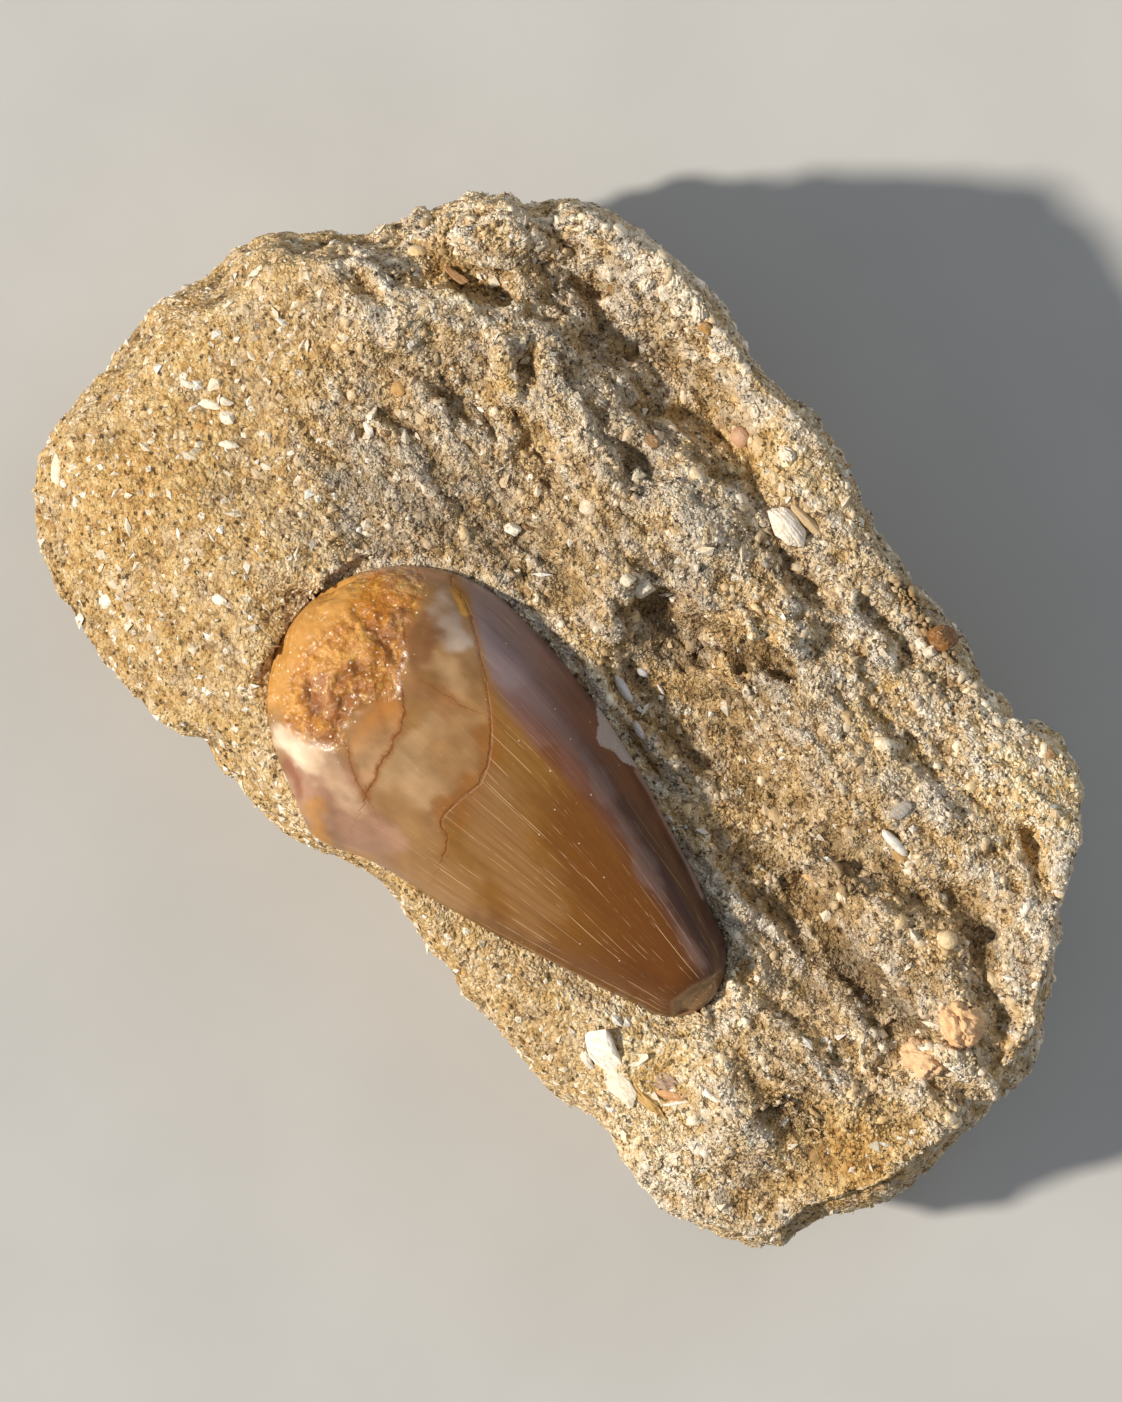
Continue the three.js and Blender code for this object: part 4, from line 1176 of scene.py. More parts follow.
for name in ("fine_sand_1", "fine_sand_2"):
    make_grains(name, FINE_GRAINS, OCTAHEDRON, (0.08 + faces_up) * off_tooth * (0.25 + 0.75 * ragged_rock),
                (0.10, 0.12, 2), (1.35, 1.1, 0.8), (-0.38, 0.3), 0.5, (0.45,), 0.3, (0.53, 0.11))
for name, count, form, weight, radius, lift, tones in (
        ("middling_grains", MIDDLE_GRAINS, OCTAHEDRON, 0.45 + 0.55 * ragged_rock, (0.15, 0.28, 2.2), (-0.42, -0.3),
         (0.56, 0.115)),
        ("nodules", NODULES, ICOSAHEDRON, 0.02 + ragged_rock + 1.6 * rim_share, (0.36, 0.34, 2.2), (-0.47, -0.3),
         (0.56, 0.12))):
    make_grains(name, count, form, well_off_tooth * weight, radius, (1.4, 1.05, 0.75), lift, 1.0, (0.35, 1.2), 0.35,
                tones)

# %% [markdown]
# ## Shell bits and bone chips
#
# Pale angular flakes of shell and chips of bone are strewn over the rock, most on the smooth lobe. A chip is what is
# left of a ball when a few random planes have cut it: along each direction from its middle, it ends at the nearest
# plane. The larger ones are made one by one from a list.


# %% Chip and plate forms
def ball_grid(meridians, rings):
    """Longitude and latitude of a ball's points, the two poles first and last, and its triangles."""
    around, up = np.meshgrid(2 * np.pi * np.arange(meridians) / meridians,
                             np.pi * (np.arange(1, rings) / rings - 0.5))
    around, up = (np.concatenate([[low], grid.ravel(), [high]])
                  for grid, low, high in ((around, 0, 0), (up, -np.pi / 2, np.pi / 2)))
    n, after = np.arange(meridians), (np.arange(meridians) + 1) % meridians
    faces = [np.stack([np.zeros_like(n), 1 + after, 1 + n], 1)]
    for low in range(1, 1 + (rings - 2) * meridians, meridians):
        high = low + meridians
        faces += [np.stack([low + n, low + after, high + after], 1), np.stack([low + n, high + after, high + n], 1)]
    last = 1 + (rings - 2) * meridians
    faces.append(np.stack([last + n, last + after, np.full_like(n, last + meridians)], 1))
    return around, up, np.vstack(faces)


def directions(around, up):
    """Steps of length 1 out from a ball's middle, at each longitude and latitude."""
    return np.stack([np.cos(up) * np.cos(around), np.cos(up) * np.sin(around), np.sin(up)], -1)


def chip_form(meridians, rings, cuts, seed):
    """A ball cut by random planes: along each direction, the distance to the nearest plane, at most 1."""
    source = np.random.default_rng(seed)
    planes = source.normal(size=(cuts, 3))
    planes /= np.linalg.norm(planes, axis=1)[:, None]
    depth = 0.5 + 0.35 * source.random(cuts)
    around, up, faces = ball_grid(meridians, rings)
    out = directions(around, up)
    facing = out @ planes.T
    reach = np.where(facing > 1e-3, depth / np.maximum(facing, 1e-3), FAR_OFF).min(axis=1, initial=1.0)
    return out * reach[:, None], faces


# A plate's number of cuts, widest reach, and heights as shares of its half height.
PLATE_CUTS, WIDEST, THICKNESS, RIB_HEIGHT = 7, 1.1, 0.28, 0.10


def plate_form(meridians, rings, arch, ridges, seed):
    """A broken plate. From above, its rim along each bearing is the nearest of some random straight cuts. Its height
    is an arch, one less the square of the way out to the rim, plus a lens of thickness, plus ridges along it."""
    source = np.random.default_rng(seed)
    cut_bearing = 2 * np.pi * (np.arange(PLATE_CUTS) + 0.7 * source.random(PLATE_CUTS)) / PLATE_CUTS
    cut_depth = 0.65 + 0.3 * source.random(PLATE_CUTS)
    around, up, faces = ball_grid(meridians, rings)
    facing = np.cos(around[:, None] - cut_bearing)
    rim = np.minimum(np.where(facing > 0.05, cut_depth / np.maximum(facing, 0.05), FAR_OFF).min(axis=1), WIDEST)
    out = np.cos(up)
    x, y = out * rim * np.cos(around), out * rim * np.sin(around)
    ribs = RIB_HEIGHT * np.abs(np.sin(np.pi * ridges * (y + 0.15 * x * x))) * (up > 0) * out
    return np.stack([x, y, arch * (1 - out**2) + THICKNESS * np.sin(up) + ribs], -1), faces


# %% Chip material
chips, tree, shader = new_material("shell and bone", Roughness=0.45, Specular_IOR_Level=0.45)
place = object_millimetres()
mottle, grit = noise(place, 1.8, 4.0, 0.65), noise(place, 7.0, 2.0, 0.6)
lines = noise(stretched(place, (0.7, 5.0, 5.0)), 1.0, 3.0, 0.6)
colour = mark("tint", "Color")
for tint, pattern, low, high, strength in (
        ((0.55, 0.36, 0.18), mottle, 0.42, 0.72, 0.5), ((0.24, 0.16, 0.10), lines, 0.45, 0.30, 0.4),
        ((0.90, 0.84, 0.72), grit, 0.60, 0.72, 0.5)):
    colour = layer(colour, tint, pattern, low, high, strength)
feed(shader["Base Color"], colour)
feed(shader["Roughness"], between(mark("gloss"), 0.0, 1.0, 0.8, 0.16))
feed(shader["Normal"], bumped(times_plus(grit, 0.4, lines), 0.5, 0.0003))

# %% Scattered chips
CHIP_ROUNDS, CHIPS_EACH = 8, 330
CREAM, WHITE, TAN = np.array([0.84, 0.74, 0.57]), np.array([0.93, 0.90, 0.82]), np.array([0.66, 0.50, 0.31])
CHIP_GLOSS = 0.35
lobe_weight = 0.45 + 1.2 * lobe_share(skin_middle[:, 0], skin_middle[:, 1])


def joined(parts):
    """One mesh from many: the points of each stacked, its triangles renumbered by the points that come before it, and
    its tint and gloss repeated for its points."""
    all_points, all_triangles, tints, glosses = zip(*parts)
    counts = [len(points) for points in all_points]
    starts = np.cumsum([0] + counts[:-1])
    marks = {"tint": np.vstack([np.broadcast_to(tint, (n, 3)) for tint, n in zip(tints, counts)]),
             "gloss": np.repeat(glosses, counts)}
    triangles = np.vstack([triangles + start for triangles, start in zip(all_triangles, starts)])
    return keep_in_box(np.vstack(all_points)), triangles, chips, marks


parts = []
for _ in range(CHIP_ROUNDS):
    place, facing, _ = scatter(CHIPS_EACH, (0.04 + faces_up) * (skin_outside > 1.2) * lobe_weight)
    length = 0.26 + 0.5 * rng.random(CHIPS_EACH) ** 2.8
    sizes = length[:, None] * np.column_stack([
        np.ones(CHIPS_EACH), 0.3 + 0.55 * rng.random(CHIPS_EACH), 0.22 + 0.3 * rng.random(CHIPS_EACH)])
    keep = place[:, 2] > 2.0
    place, facing, sizes = place[keep], facing[keep], sizes[keep]
    points, triangles = crumbs_at(OCTAHEDRON, place, sizes, laid_flat(facing, 0.2), 0.45)
    pick = rng.random((len(place), 1))
    tint = np.where(pick < 0.22, WHITE, np.where(pick < 0.7, CREAM, TAN)) * (0.85 + 0.15 * rng.random((len(place), 1)))
    parts.append((points, triangles, np.repeat(tint, len(OCTAHEDRON[0]), axis=0), CHIP_GLOSS))
make_piece("shell_bits", *joined(parts), is_smooth=False)

# %% [markdown]
# ## Inclusions that can be pointed at
#
# These are the larger ones: a white oyster piece on the ridge, a curl of shell at the foot, a glossy amber pebble on
# the far edge and others. Each sits on the skin at its place, sunk by part of its height.

# %% Named inclusions
# Form, place, half length, half width, half height, heading in degrees, tint, gloss, share of the height that shows.
INCLUSIONS = [
    # the oyster piece on the ridge, and the crust behind it
    ("ribbed", 2.2, 19.8, 2.3, 1.35, 0.9, -3, (0.92, 0.83, 0.71), 0.5, 0.75),
    ("chip", 3, 21.2, 2, 0.7, 0.6, -6, (0.6, 0.43, 0.24), 0.2, 0.45),
    # shells, crusts and bone at the foot
    ("curl", 22.8, -22, 2.3, 1.8, 1.3, -22, (0.98, 0.92, 0.8), 0.5, 0.7),
    ("bowl", 24.9, -21.4, 1.8, 0.7, 0.6, 58, (0.96, 0.86, 0.68), 0.4, 0.6),
    ("plate", 26, -23.7, 2.9, 1.4, 0.5, -20, (0.96, 0.85, 0.66), 0.3, 0.45),
    ("knob", 28.3, -22.9, 2.9, 0.65, 0.5, -3, (0.66, 0.4, 0.13), 0.3, 0.45),
    ("plate", 22.5, -24.1, 1.2, 0.6, 0.4, -24, (0.8, 0.73, 0.61), 0.4, 0.6),
    ("knob", 28.4, -20.7, 1.7, 0.95, 0.5, 30, (0.42, 0.28, 0.2), 0.5, 0.3),
    ("bean", 29.4, -21.2, 1.6, 0.5, 0.5, 35, (0.6, 0.3, 0.12), 0.6, 0.45),
    ("bean", 30.3, -21.3, 1.2, 0.2, 0.3, 57, (0.95, 0.9, 0.8), 0.5, 0.6),
    ("chip", 31.6, -18.8, 1.2, 0.35, 0.4, 13, (0.93, 0.87, 0.76), 0.4, 0.6),
    # amber pebbles and white blocks on the far edge
    ("chip", 18.5, 21.9, 1.4, 1.1, 1.2, 34, (0.22, 0.08, 0.01), 0.98, 0.75),
    ("chip", 19.9, 22.5, 0.6, 0.5, 0.6, 10, (0.42, 0.19, 0.045), 0.9, 0.5),
    ("chip", 18.3, 20.9, 0.75, 0.6, 0.6, 60, (0.9, 0.8, 0.62), 0.5, 0.6),
    ("chip", 17.3, 20.7, 0.7, 0.55, 0.5, 20, (0.88, 0.8, 0.66), 0.4, 0.5),
    # chips and seeds above the tooth
    ("chip", -13.8, 3.4, 0.95, 0.65, 0.7, 40, (0.97, 0.91, 0.76), 0.6, 0.7),
    ("chip", -13.1, 4.3, 0.6, 0.45, 0.4, 40, (0.2, 0.1, 0.035), 0.8, 0.5),
    ("chip", -28.3, 0.6, 0.9, 0.5, 0.5, -20, (0.96, 0.9, 0.78), 0.6, 0.65),
    ("chip", -29.2, 1.7, 0.85, 0.45, 0.4, 110, (0.9, 0.8, 0.64), 0.5, 0.5),
    ("bean", -27.2, 1.4, 0.45, 0.35, 0.3, 30, (0.22, 0.11, 0.045), 0.9, 0.4),
    # pebbles behind the ridge
    ("bean", -5.8, 22.4, 1, 0.85, 0.8, 20, (0.6, 0.34, 0.21), 0.5, 0.5),
    ("chip", -11.1, 16.8, 1, 0.6, 0.4, 0, (0.32, 0.165, 0.06), 0.7, 0.5),
    ("chip", -14.2, 26.6, 0.9, 0.65, 0.5, 10, (0.52, 0.27, 0.08), 0.6, 0.5),
    # grey rods beside the tooth
    ("bean", 2.2, 0.3, 1.35, 0.42, 0.45, -12, (0.74, 0.72, 0.74), 0.6, 0.65),
    ("bean", 2.4, 2.5, 0.55, 0.35, 0.35, 10, (0.66, 0.66, 0.7), 0.6, 0.5),
    ("bean", 5.6, -1.2, 0.9, 0.32, 0.35, -20, (0.66, 0.62, 0.62), 0.5, 0.5),
    ("bean", 4.5, 2.6, 0.55, 0.15, 0.2, -15, (0.88, 0.84, 0.78), 0.6, 0.7),
    # slivers and stones past the tip
    ("bean", 27.5, 7.4, 1.5, 0.44, 0.5, -2, (0.94, 0.9, 0.82), 0.6, 0.7),
    ("chip", 25.9, 9.3, 1.5, 0.75, 0.5, 76, (0.4, 0.37, 0.335), 0.3, 0.4),
    ("chip", 28.9, 6.7, 1.1, 0.5, 0.4, 5, (0.46, 0.27, 0.095), 0.3, 0.35),
    ("chip", 24.8, 0.2, 1.1, 0.4, 0.35, 10, (0.72, 0.45, 0.2), 0.5, 0.5),
    # crumbs on the hollow's brow
    ("chip", -2.6, 7.6, 1.25, 1, 0.8, 30, (0.9, 0.81, 0.64), 0.4, 0.55),
    ("chip", -4, 7, 0.8, 0.6, 0.5, 60, (0.86, 0.76, 0.58), 0.4, 0.5),
    ("chip", -0.2, 8.7, 0.45, 0.35, 0.35, 60, (0.92, 0.84, 0.7), 0.4, 0.6),
    # cream and peach knobs on the east side
    ("bean", 36.5, 4.7, 0.85, 0.8, 0.8, 0, (0.84, 0.64, 0.38), 0.4, 0.6),
    ("knob", 42.3, 0.5, 2.3, 2, 1.4, -11, (0.92, 0.56, 0.29), 0.25, 0.5),
    ("bean", 43.4, -1, 0.75, 0.5, 0.5, 50, (0.9, 0.72, 0.52), 0.3, 0.6),
    ("knob", 42.1, -3.7, 2.4, 1.9, 1.1, 20, (0.86, 0.55, 0.3), 0.25, 0.45),
    ("bean", 44.6, -3, 0.6, 0.4, 0.4, 50, (0.86, 0.68, 0.48), 0.3, 0.6),
    # a stone on the shelf and a ring of shell by the foot
    ("chip", -9.6, 13.8, 1, 0.45, 0.45, 80, (0.8, 0.68, 0.5), 0.4, 0.5),
    ("bowl", 40.3, -14.8, 0.8, 0.5, 0.5, 40, (0.88, 0.72, 0.46), 0.5, 0.7),
    # flakes on the smooth lobe
    ("chip", -37.7, -7, 0.85, 0.7, 0.4, 30, (0.97, 0.9, 0.74), 0.4, 0.6),
    ("chip", -38.8, -6.2, 0.75, 0.5, 0.35, 20, (0.9, 0.8, 0.62), 0.4, 0.5),
    ("chip", -40.5, -5.8, 0.9, 0.75, 0.35, 80, (0.88, 0.74, 0.56), 0.4, 0.5),
    ("plate", -39.6, -7.4, 1.3, 0.45, 0.35, 31, (0.92, 0.84, 0.66), 0.4, 0.5),
    ("plate", -36, -8.7, 1, 0.4, 0.35, 39, (0.97, 0.89, 0.72), 0.4, 0.6),
    ("plate", -42.2, -7.5, 0.9, 0.35, 0.35, 23, (0.94, 0.86, 0.7), 0.4, 0.6),
    ("chip", -27.3, -18.5, 0.9, 0.6, 0.4, 50, (0.95, 0.88, 0.74), 0.4, 0.5),
    ("plate", -34.4, -25.6, 1.3, 0.75, 0.4, 90, (0.95, 0.88, 0.74), 0.4, 0.5),
    # flakes by the lobe's edge and crest
    ("plate", -45.4, -20.8, 1.5, 0.8, 0.35, -45, (0.88, 0.77, 0.6), 0.3, 0.4),
    ("chip", -44.1, -21, 0.45, 0.4, 0.3, 0, (0.97, 0.92, 0.82), 0.4, 0.6),
    ("plate", -44.8, 3.6, 1.2, 0.8, 0.35, 40, (0.88, 0.8, 0.66), 0.3, 0.4),
    # orange and brown stones
    ("chip", -38.9, -9.3, 0.7, 0.45, 0.3, 30, (0.62, 0.33, 0.09), 0.4, 0.4),
    ("chip", -32.3, 14.9, 1.5, 0.5, 0.6, 5, (0.36, 0.17, 0.06), 0.4, 0.65),
    ("chip", -29.1, 4.7, 0.9, 0.7, 0.5, 20, (0.55, 0.31, 0.1), 0.3, 0.45),
    ("chip", 31.2, 21.9, 0.9, 0.6, 0.5, 0, (0.38, 0.21, 0.09), 0.3, 0.45),
]

# %% Place the inclusions
# Place and half length of the white nodules along the back rim. Two in three are knobs and the others are chips.
RIM_NODULES = [
    (-25.4, 27.4, 0.8), (-22.8, 28.2, 0.8), (-21.1, 27.9, 0.7), (-21.4, 26.5, 0.6), (-19.2, 27.7, 0.9),
    (-17.5, 27.4, 0.7), (-18.8, 26.3, 0.8), (-20.5, 25.7, 0.6), (-15.6, 27.3, 0.8), (-13.5, 27, 0.6),
    (-17.1, 26, 0.6), (-12, 25.6, 0.7), (-9.5, 26.4, 0.7), (-6.4, 24.6, 0.6), (-2, 23.9, 0.7),
]
INCLUSIONS += [("knob" if n % 3 else "chip", x, y, 1.25 * size, size, 0.7 * size, 40 * n, (0.86, 0.76, 0.6), 0.25, 0.35)
               for n, (x, y, size) in enumerate(RIM_NODULES)]
skin_tree = BVHTree.FromPolygons(skin.tolist(), skin_triangles.tolist())
DROP_FROM = 60.0  # a height above all of the block
FIRST_SEED = 300


def drop_on_skin(x, y):
    """Where a line straight down from above meets the skin, and the skin's facing there."""
    hit, facing, _, _ = skin_tree.ray_cast(Vector((x, y, DROP_FROM)), Vector((0, 0, -1)))
    return np.array(hit), np.array(facing)


def wide_facing(x, y, reach):
    """The average facing of the skin round a point, from four drops at a reach."""
    total = sum(drop_on_skin(x + dx * reach, y + dy * reach)[1] for dx, dy in ((1, 0), (-1, 0), (0, 1), (0, -1)))
    return total / np.linalg.norm(total)


def curl_form(seed):
    """A sheet like a lens, whose far side rolls up: past the middle line, the way across is spent on a circle."""
    around, up, faces = ball_grid(48, 26)
    rim = 0.85 + 0.15 * np.cos(3 * around + seed)
    x, y, thick = np.cos(up) * np.cos(around) * rim, np.cos(up) * np.sin(around), 0.14 * np.sin(up)
    tightness = 2.6
    turned = tightness * np.maximum(0, y)
    y = np.minimum(0, y) + np.sin(turned) / tightness - thick * np.sin(turned)
    return np.stack([x, y, (1 - np.cos(turned)) / tightness + thick * np.cos(turned) - 0.25 * x * x], -1), faces


def knob_form(seed):
    """A ball whose surface is thrown into wandering ribs: highest where layered noise crosses 0."""
    around, up, faces = ball_grid(56, 36)
    x, y, z = directions(around, up).T
    ribs = 0.5 - np.abs(layered_noise(x + 7 * seed, 2.2 * y, 2.2 * z, 0.9, 3))
    return directions(around, up) * (0.72 + 0.55 * ribs)[:, None], faces


FORMS = {
    "chip": lambda seed: chip_form(20, 12, 9, seed), "bean": lambda seed: chip_form(22, 14, 0, seed),
    "plate": lambda seed: plate_form(28, 14, 0.45, 0, seed), "ribbed": lambda seed: plate_form(48, 28, 0.7, 4.5, seed),
    "bowl": lambda seed: plate_form(40, 20, -0.9, 0, seed), "knob": knob_form, "curl": curl_form,
}
ROUND_FORMS = ("bean", "bowl", "knob", "curl")
parts, rounded = [], []
for number, (kind, x, y, length, width, height, heading, tint, gloss, shows) in enumerate(INCLUSIONS):
    points, triangles = FORMS[kind](FIRST_SEED + number)
    third = wide_facing(x, y, 0.7 * length)
    first = np.array([math.cos(math.radians(heading)), math.sin(math.radians(heading)), 0.0])
    first = first - third * (first @ third)
    first /= np.linalg.norm(first)
    rough = 1 + 0.06 * layered_noise(*(points * 3 + 9 * number).T, 1.0, 3)[:, None]
    points = (points * rough * (length, width, height)) @ np.stack([first, np.cross(third, first), third])
    parts.append((points + drop_on_skin(x, y)[0] + third * height * (2 * shows - 1), triangles, tint, gloss))
    rounded.append(np.full(len(triangles), kind in ROUND_FORMS))
make_piece("inclusions", *joined(parts), is_smooth=np.concatenate(rounded))

# %% [markdown]
# ## The tooth
#
# The crown is a closed loft: rings from the base to the tip, each a lens with its highest line off the middle. The
# broken root end is rough, two cracks cross the crown where the enamel has flaked in steps, and the tip is worn to a
# small facet. The colours need crisp lines, so the distances to the cracks and other borders are kept on the mesh in
# millimetres, and the material draws the lines from them.

# %% Tooth marks
# Paths on the crown as it lies, in millimetres from the base and across, turned to the tooth's heading.
ENAMEL_STEP = [(7.6, 13.9), (8.3, 13.3), (9.6, 13), (11, 12.4), (12.6, 11.3), (14, 10.2), (16, 8.6),
               (17.3, 7.5), (18.8, 6), (19.6, 5), (20.5, 3.5), (21, 2), (20.7, 0.7), (20.5, -0.5),
               (20.4, -1.7), (20.5, -2.5), (21.1, -3), (21.9, -3.4), (22.4, -4.1), (22.6, -4.8)]
ROOT_CRACK = [(7.7, 7.6), (8.9, 6.5), (9.8, 4.7), (11.2, 3.4), (12.4, 2.2), (13, 1.1), (13.3, -0.3), (13.6, -1.8),
              (14, -3.5), (14.4, -5)]
TONGUE_CRACK = [(9.1, -2.1), (10.3, -3), (11.7, -3.8), (13.1, -4.5), (14.5, -5.1)]
SECOND_CRACK = [(12.4, 5.5), (13.8, 5.7), (15.3, 5.9), (16.8, 6.4)]
ROOT_PATCH = [(-3, 2), (-3, 14), (3.4, 13.5), (5.6, 12.6), (6.8, 11.4), (7.5, 9.8), (7.8, 7.8), (9.7, 4.9),
              (10.8, 3), (9.4, 1.3), (8.8, -0.3), (9.1, -2.1), (10.3, -3.4), (9.8, -3.8), (8.2, -4.8), (6.3, -5.2),
              (4.1, -4.9), (2.3, -5.6), (-3, -6.5)]
TONGUE_PATCH = [(9.1, -2.1), (8.8, -0.3), (9.4, 1.3), (10.5, 2.9), (12.1, 2.5), (13, 1.1), (13.6, -1.8),
                (14.5, -5.1), (11.7, -3.8)]
EDGE_CHIP = [(24, 13.4), (24.6, 15), (28, 15), (31.6, 13), (31, 11.5), (30.2, 11.5), (29, 11.2),
             (27.6, 11.4), (26.6, 11), (25.9, 11.4), (25.4, 12.3), (24.7, 12.8)]
PLUM_LINE = [(6, 14), (10, 13.2), (11.5, 11.6), (16.1, 8.6), (19.1, 7.6), (23.8, 6.6), (28.4, 5.7), (31.8, 4.8),
             (35.7, 3.8), (39.1, 3.1), (42.5, 2.1), (45.2, 1.3), (50, -0.5)]
TIP_FACET = [(45.2, -1.6), (45.6, 0.5), (46.2, 1.9), (46.6, 3.2), (49, 3.4), (49, -3.2), (46.2, -2.9)]
BITE = [(1.6, -2), (1.2, 3), (2.4, 7.5), (4.4, 10.2)]
RECESSES = [[(8.5, -4.5), (9.2, -3), (8.2, -0.8), (8, 0.7)], [(5.6, 5.9), (7.5, 5.9), (8.8, 5.3)],
            [(4.5, -1.7), (6.3, -2.5)], [(6.4, 1), (6.9, 2.6)]]


# %% Tooth form
def tooth_skin(rows, upper_columns, lower_columns):
    """Rings round the crown. Row spacing follows a cosine, so the ends are round; within a ring, the share of the
    half width is the cosine of the angle."""
    row = np.arange(rows + 1)
    s = TOOTH_LENGTH * (1 - np.cos(np.pi * row / rows)) / 2
    angle = np.concatenate([np.pi * np.arange(upper_columns) / upper_columns,
                            np.pi + np.pi * np.arange(lower_columns) / lower_columns])
    s, angle = np.meshgrid(s, angle, indexing="ij")
    v = np.cos(angle)
    section = tooth_section(s)
    is_upper = angle < np.pi
    reach = np.where(v > section["crest"], 1 - section["crest"], 1 + section["crest"])
    share = np.minimum(1, np.abs(v - section["crest"]) / reach)
    over = section["upper"] * (1 - share**2.2) ** 0.6
    under = -section["lower"] * np.sqrt(np.maximum(0, 1 - v * v))
    w = section["middle"] + section["half"] * v - np.where(v < 0, section["lip"] * v * v, 0)
    points = np.stack([s, w, np.where(is_upper, over, under)], axis=-1)
    count = upper_columns + lower_columns
    n, after = np.arange(count), (np.arange(count) + 1) % count
    inner = np.arange(1, rows - 1)[:, None] * count
    a, b = (inner + n).ravel(), (inner + after).ravel()
    triangles = [np.stack([a, b, a + count], 1), np.stack([b, b + count, a + count], 1)]
    last_ring, tip = (rows - 1) * count, rows * count
    triangles.append(np.stack([np.zeros(count, int), count + after, count + n], 1))
    triangles.append(np.stack([last_ring + n, last_ring + after, np.full(count, tip)], 1))
    return points.reshape(-1, 3), np.vstack(triangles), v.ravel(), is_upper.ravel(), section["half"].ravel()


def compact(points, triangles, *others):
    """Drops the points that no triangle uses."""
    used = np.unique(triangles)
    renumber = np.zeros(len(points), int)
    renumber[used] = np.arange(len(used))
    return points[used], renumber[triangles], *(values[used] for values in others)


def within(s, w, ring):
    """Distance to a closed ring with a sign: above 0 inside it, below 0 outside."""
    return path_distance(s, w, ring + ring[:1]) * np.where(inside(s, w, ring), 1, -1)


TOOTH_ROWS, UPPER_COLUMNS, LOWER_COLUMNS = 280, 170, 50
tooth, tooth_triangles, tooth_share, tooth_upper, tooth_half = compact(
    *tooth_skin(TOOTH_ROWS, UPPER_COLUMNS, LOWER_COLUMNS))
tooth_length_at = tooth[:, 0].copy()
seen = (tooth @ TOOTH_TURN.T) @ turn(HEADING, 2)
s, w = seen[:, 0], seen[:, 1]
BARE_BELOW, PAST_STEP = 7.0, 30.0  # on the underside the enamel starts at the first, and the step is off by the second
root_edge = np.where(tooth_upper, within(s, w, ROOT_PATCH), BARE_BELOW - s)
tongue_edge, facet, chip_edge = (np.where(tooth_upper, within(s, w, ring), -FAR_OFF)
                                 for ring in (TONGUE_PATCH, TIP_FACET, EDGE_CHIP))
step_side = np.where(tooth_upper, side_distance(s, w, ENAMEL_STEP), PAST_STEP)
plum = w - np.interp(s, *np.array(PLUM_LINE).T)
print("tooth:", len(tooth), "points")

# %% Tooth surface
# The bare root end is rough, with recesses between crumbs. The enamel ends in a low step, and the tip is worn flat.
in_root = ease((root_edge + 0.6 + 0.5 * layered_noise(s, w, 3, 2.0, 3)) / 1.9)
lumps = layered_noise(*tooth.T, 3.0, 4)
bent = (c + 0.4 * layered_noise(*tooth.T + 9 * n, 1.5, 2) for n, c in enumerate(tooth.T))
crumb = 0.5 - cell_distance(*bent, 1.05)[0]
recess = sum(hump(path_distance(s, w, path), 0.7) for path in RECESSES)
bite = ease((path_distance(s, w, BITE) - 0.5) / 1.8)
grit = 0.5 - cell_distance(*tooth.T, 0.6)[0]
lift = in_root * (0.34 * lumps + (0.14 + 0.50 * bite) * crumb + 0.20 * bite * grit - 0.18 - 0.5 * recess)
lift = lift - 0.05 * ease((tongue_edge + 0.1) / 0.5)
lift = lift - 0.04 * ease((0.25 - step_side) / 0.6) * ease((22.0 - s) / 5) * tooth_upper * (1 - in_root)
lift = lift + 0.10 * layered_noise(tooth[:, 0] / 2.5, tooth[:, 1], tooth[:, 2], 7, 2) * (1 - in_root) - 0.04
lift = lift - 0.45 * ease(facet) - 0.16 * ease((chip_edge + 0.1) / 0.35)
ends_kept = ease(np.minimum(tooth_length_at, TOOTH_LENGTH - tooth_length_at) / 0.8)
edge_kept = ease((1 - np.abs(tooth_share)) / 0.04)
normals = vertex_normals(tooth, tooth_triangles)
tooth = tooth + normals * (np.minimum(lift, 0.25 * in_root) * ends_kept * edge_kept)[:, None]
tooth = np.clip(tooth @ TOOTH_TURN.T + TOOTH_PLACE, BOX_LOW, BOX_HIGH)
print("tooth spans", np.round(tooth.min(0), 2), "to", np.round(tooth.max(0), 2))

# %% [markdown]
# ## The crown's clouded colour
#
# Fossil enamel takes its colour from what has soaked into it: honey by the root, amber to brown towards the tip, plum
# along the buried flank, and milky where it has weathered. The lavender grey at the flank's base end, a blue patch by
# the step and the lit streak along the flank are painted sheen of the sky. These soft clouds are washes over each
# other, so they are worked out point by point like layers of thin paint, and kept on the mesh as one colour.

# %% Crown colours
BODY_STOPS = np.array([  # millimetres from the base, red, green, blue
    (0, 0.4, 0.19, 0.05), (13, 0.32, 0.16, 0.046), (20, 0.25, 0.118, 0.024), (27, 0.228, 0.098, 0.012),
    (34, 0.19, 0.073, 0.006), (40, 0.12, 0.037, 0.003), (45, 0.08, 0.024, 0.003), (48, 0.13, 0.055, 0.017),
])
# The lavender grey of the first stops is partly painted sheen of the sky on the dark brown flank.
PLUM_STOPS = np.array([
    (8, 0.31, 0.215, 0.2), (14, 0.255, 0.165, 0.165), (18, 0.22, 0.115, 0.098), (24, 0.185, 0.08, 0.052),
    (30, 0.15, 0.053, 0.026), (36, 0.115, 0.038, 0.018), (42, 0.095, 0.038, 0.025), (48, 0.11, 0.06, 0.042),
])
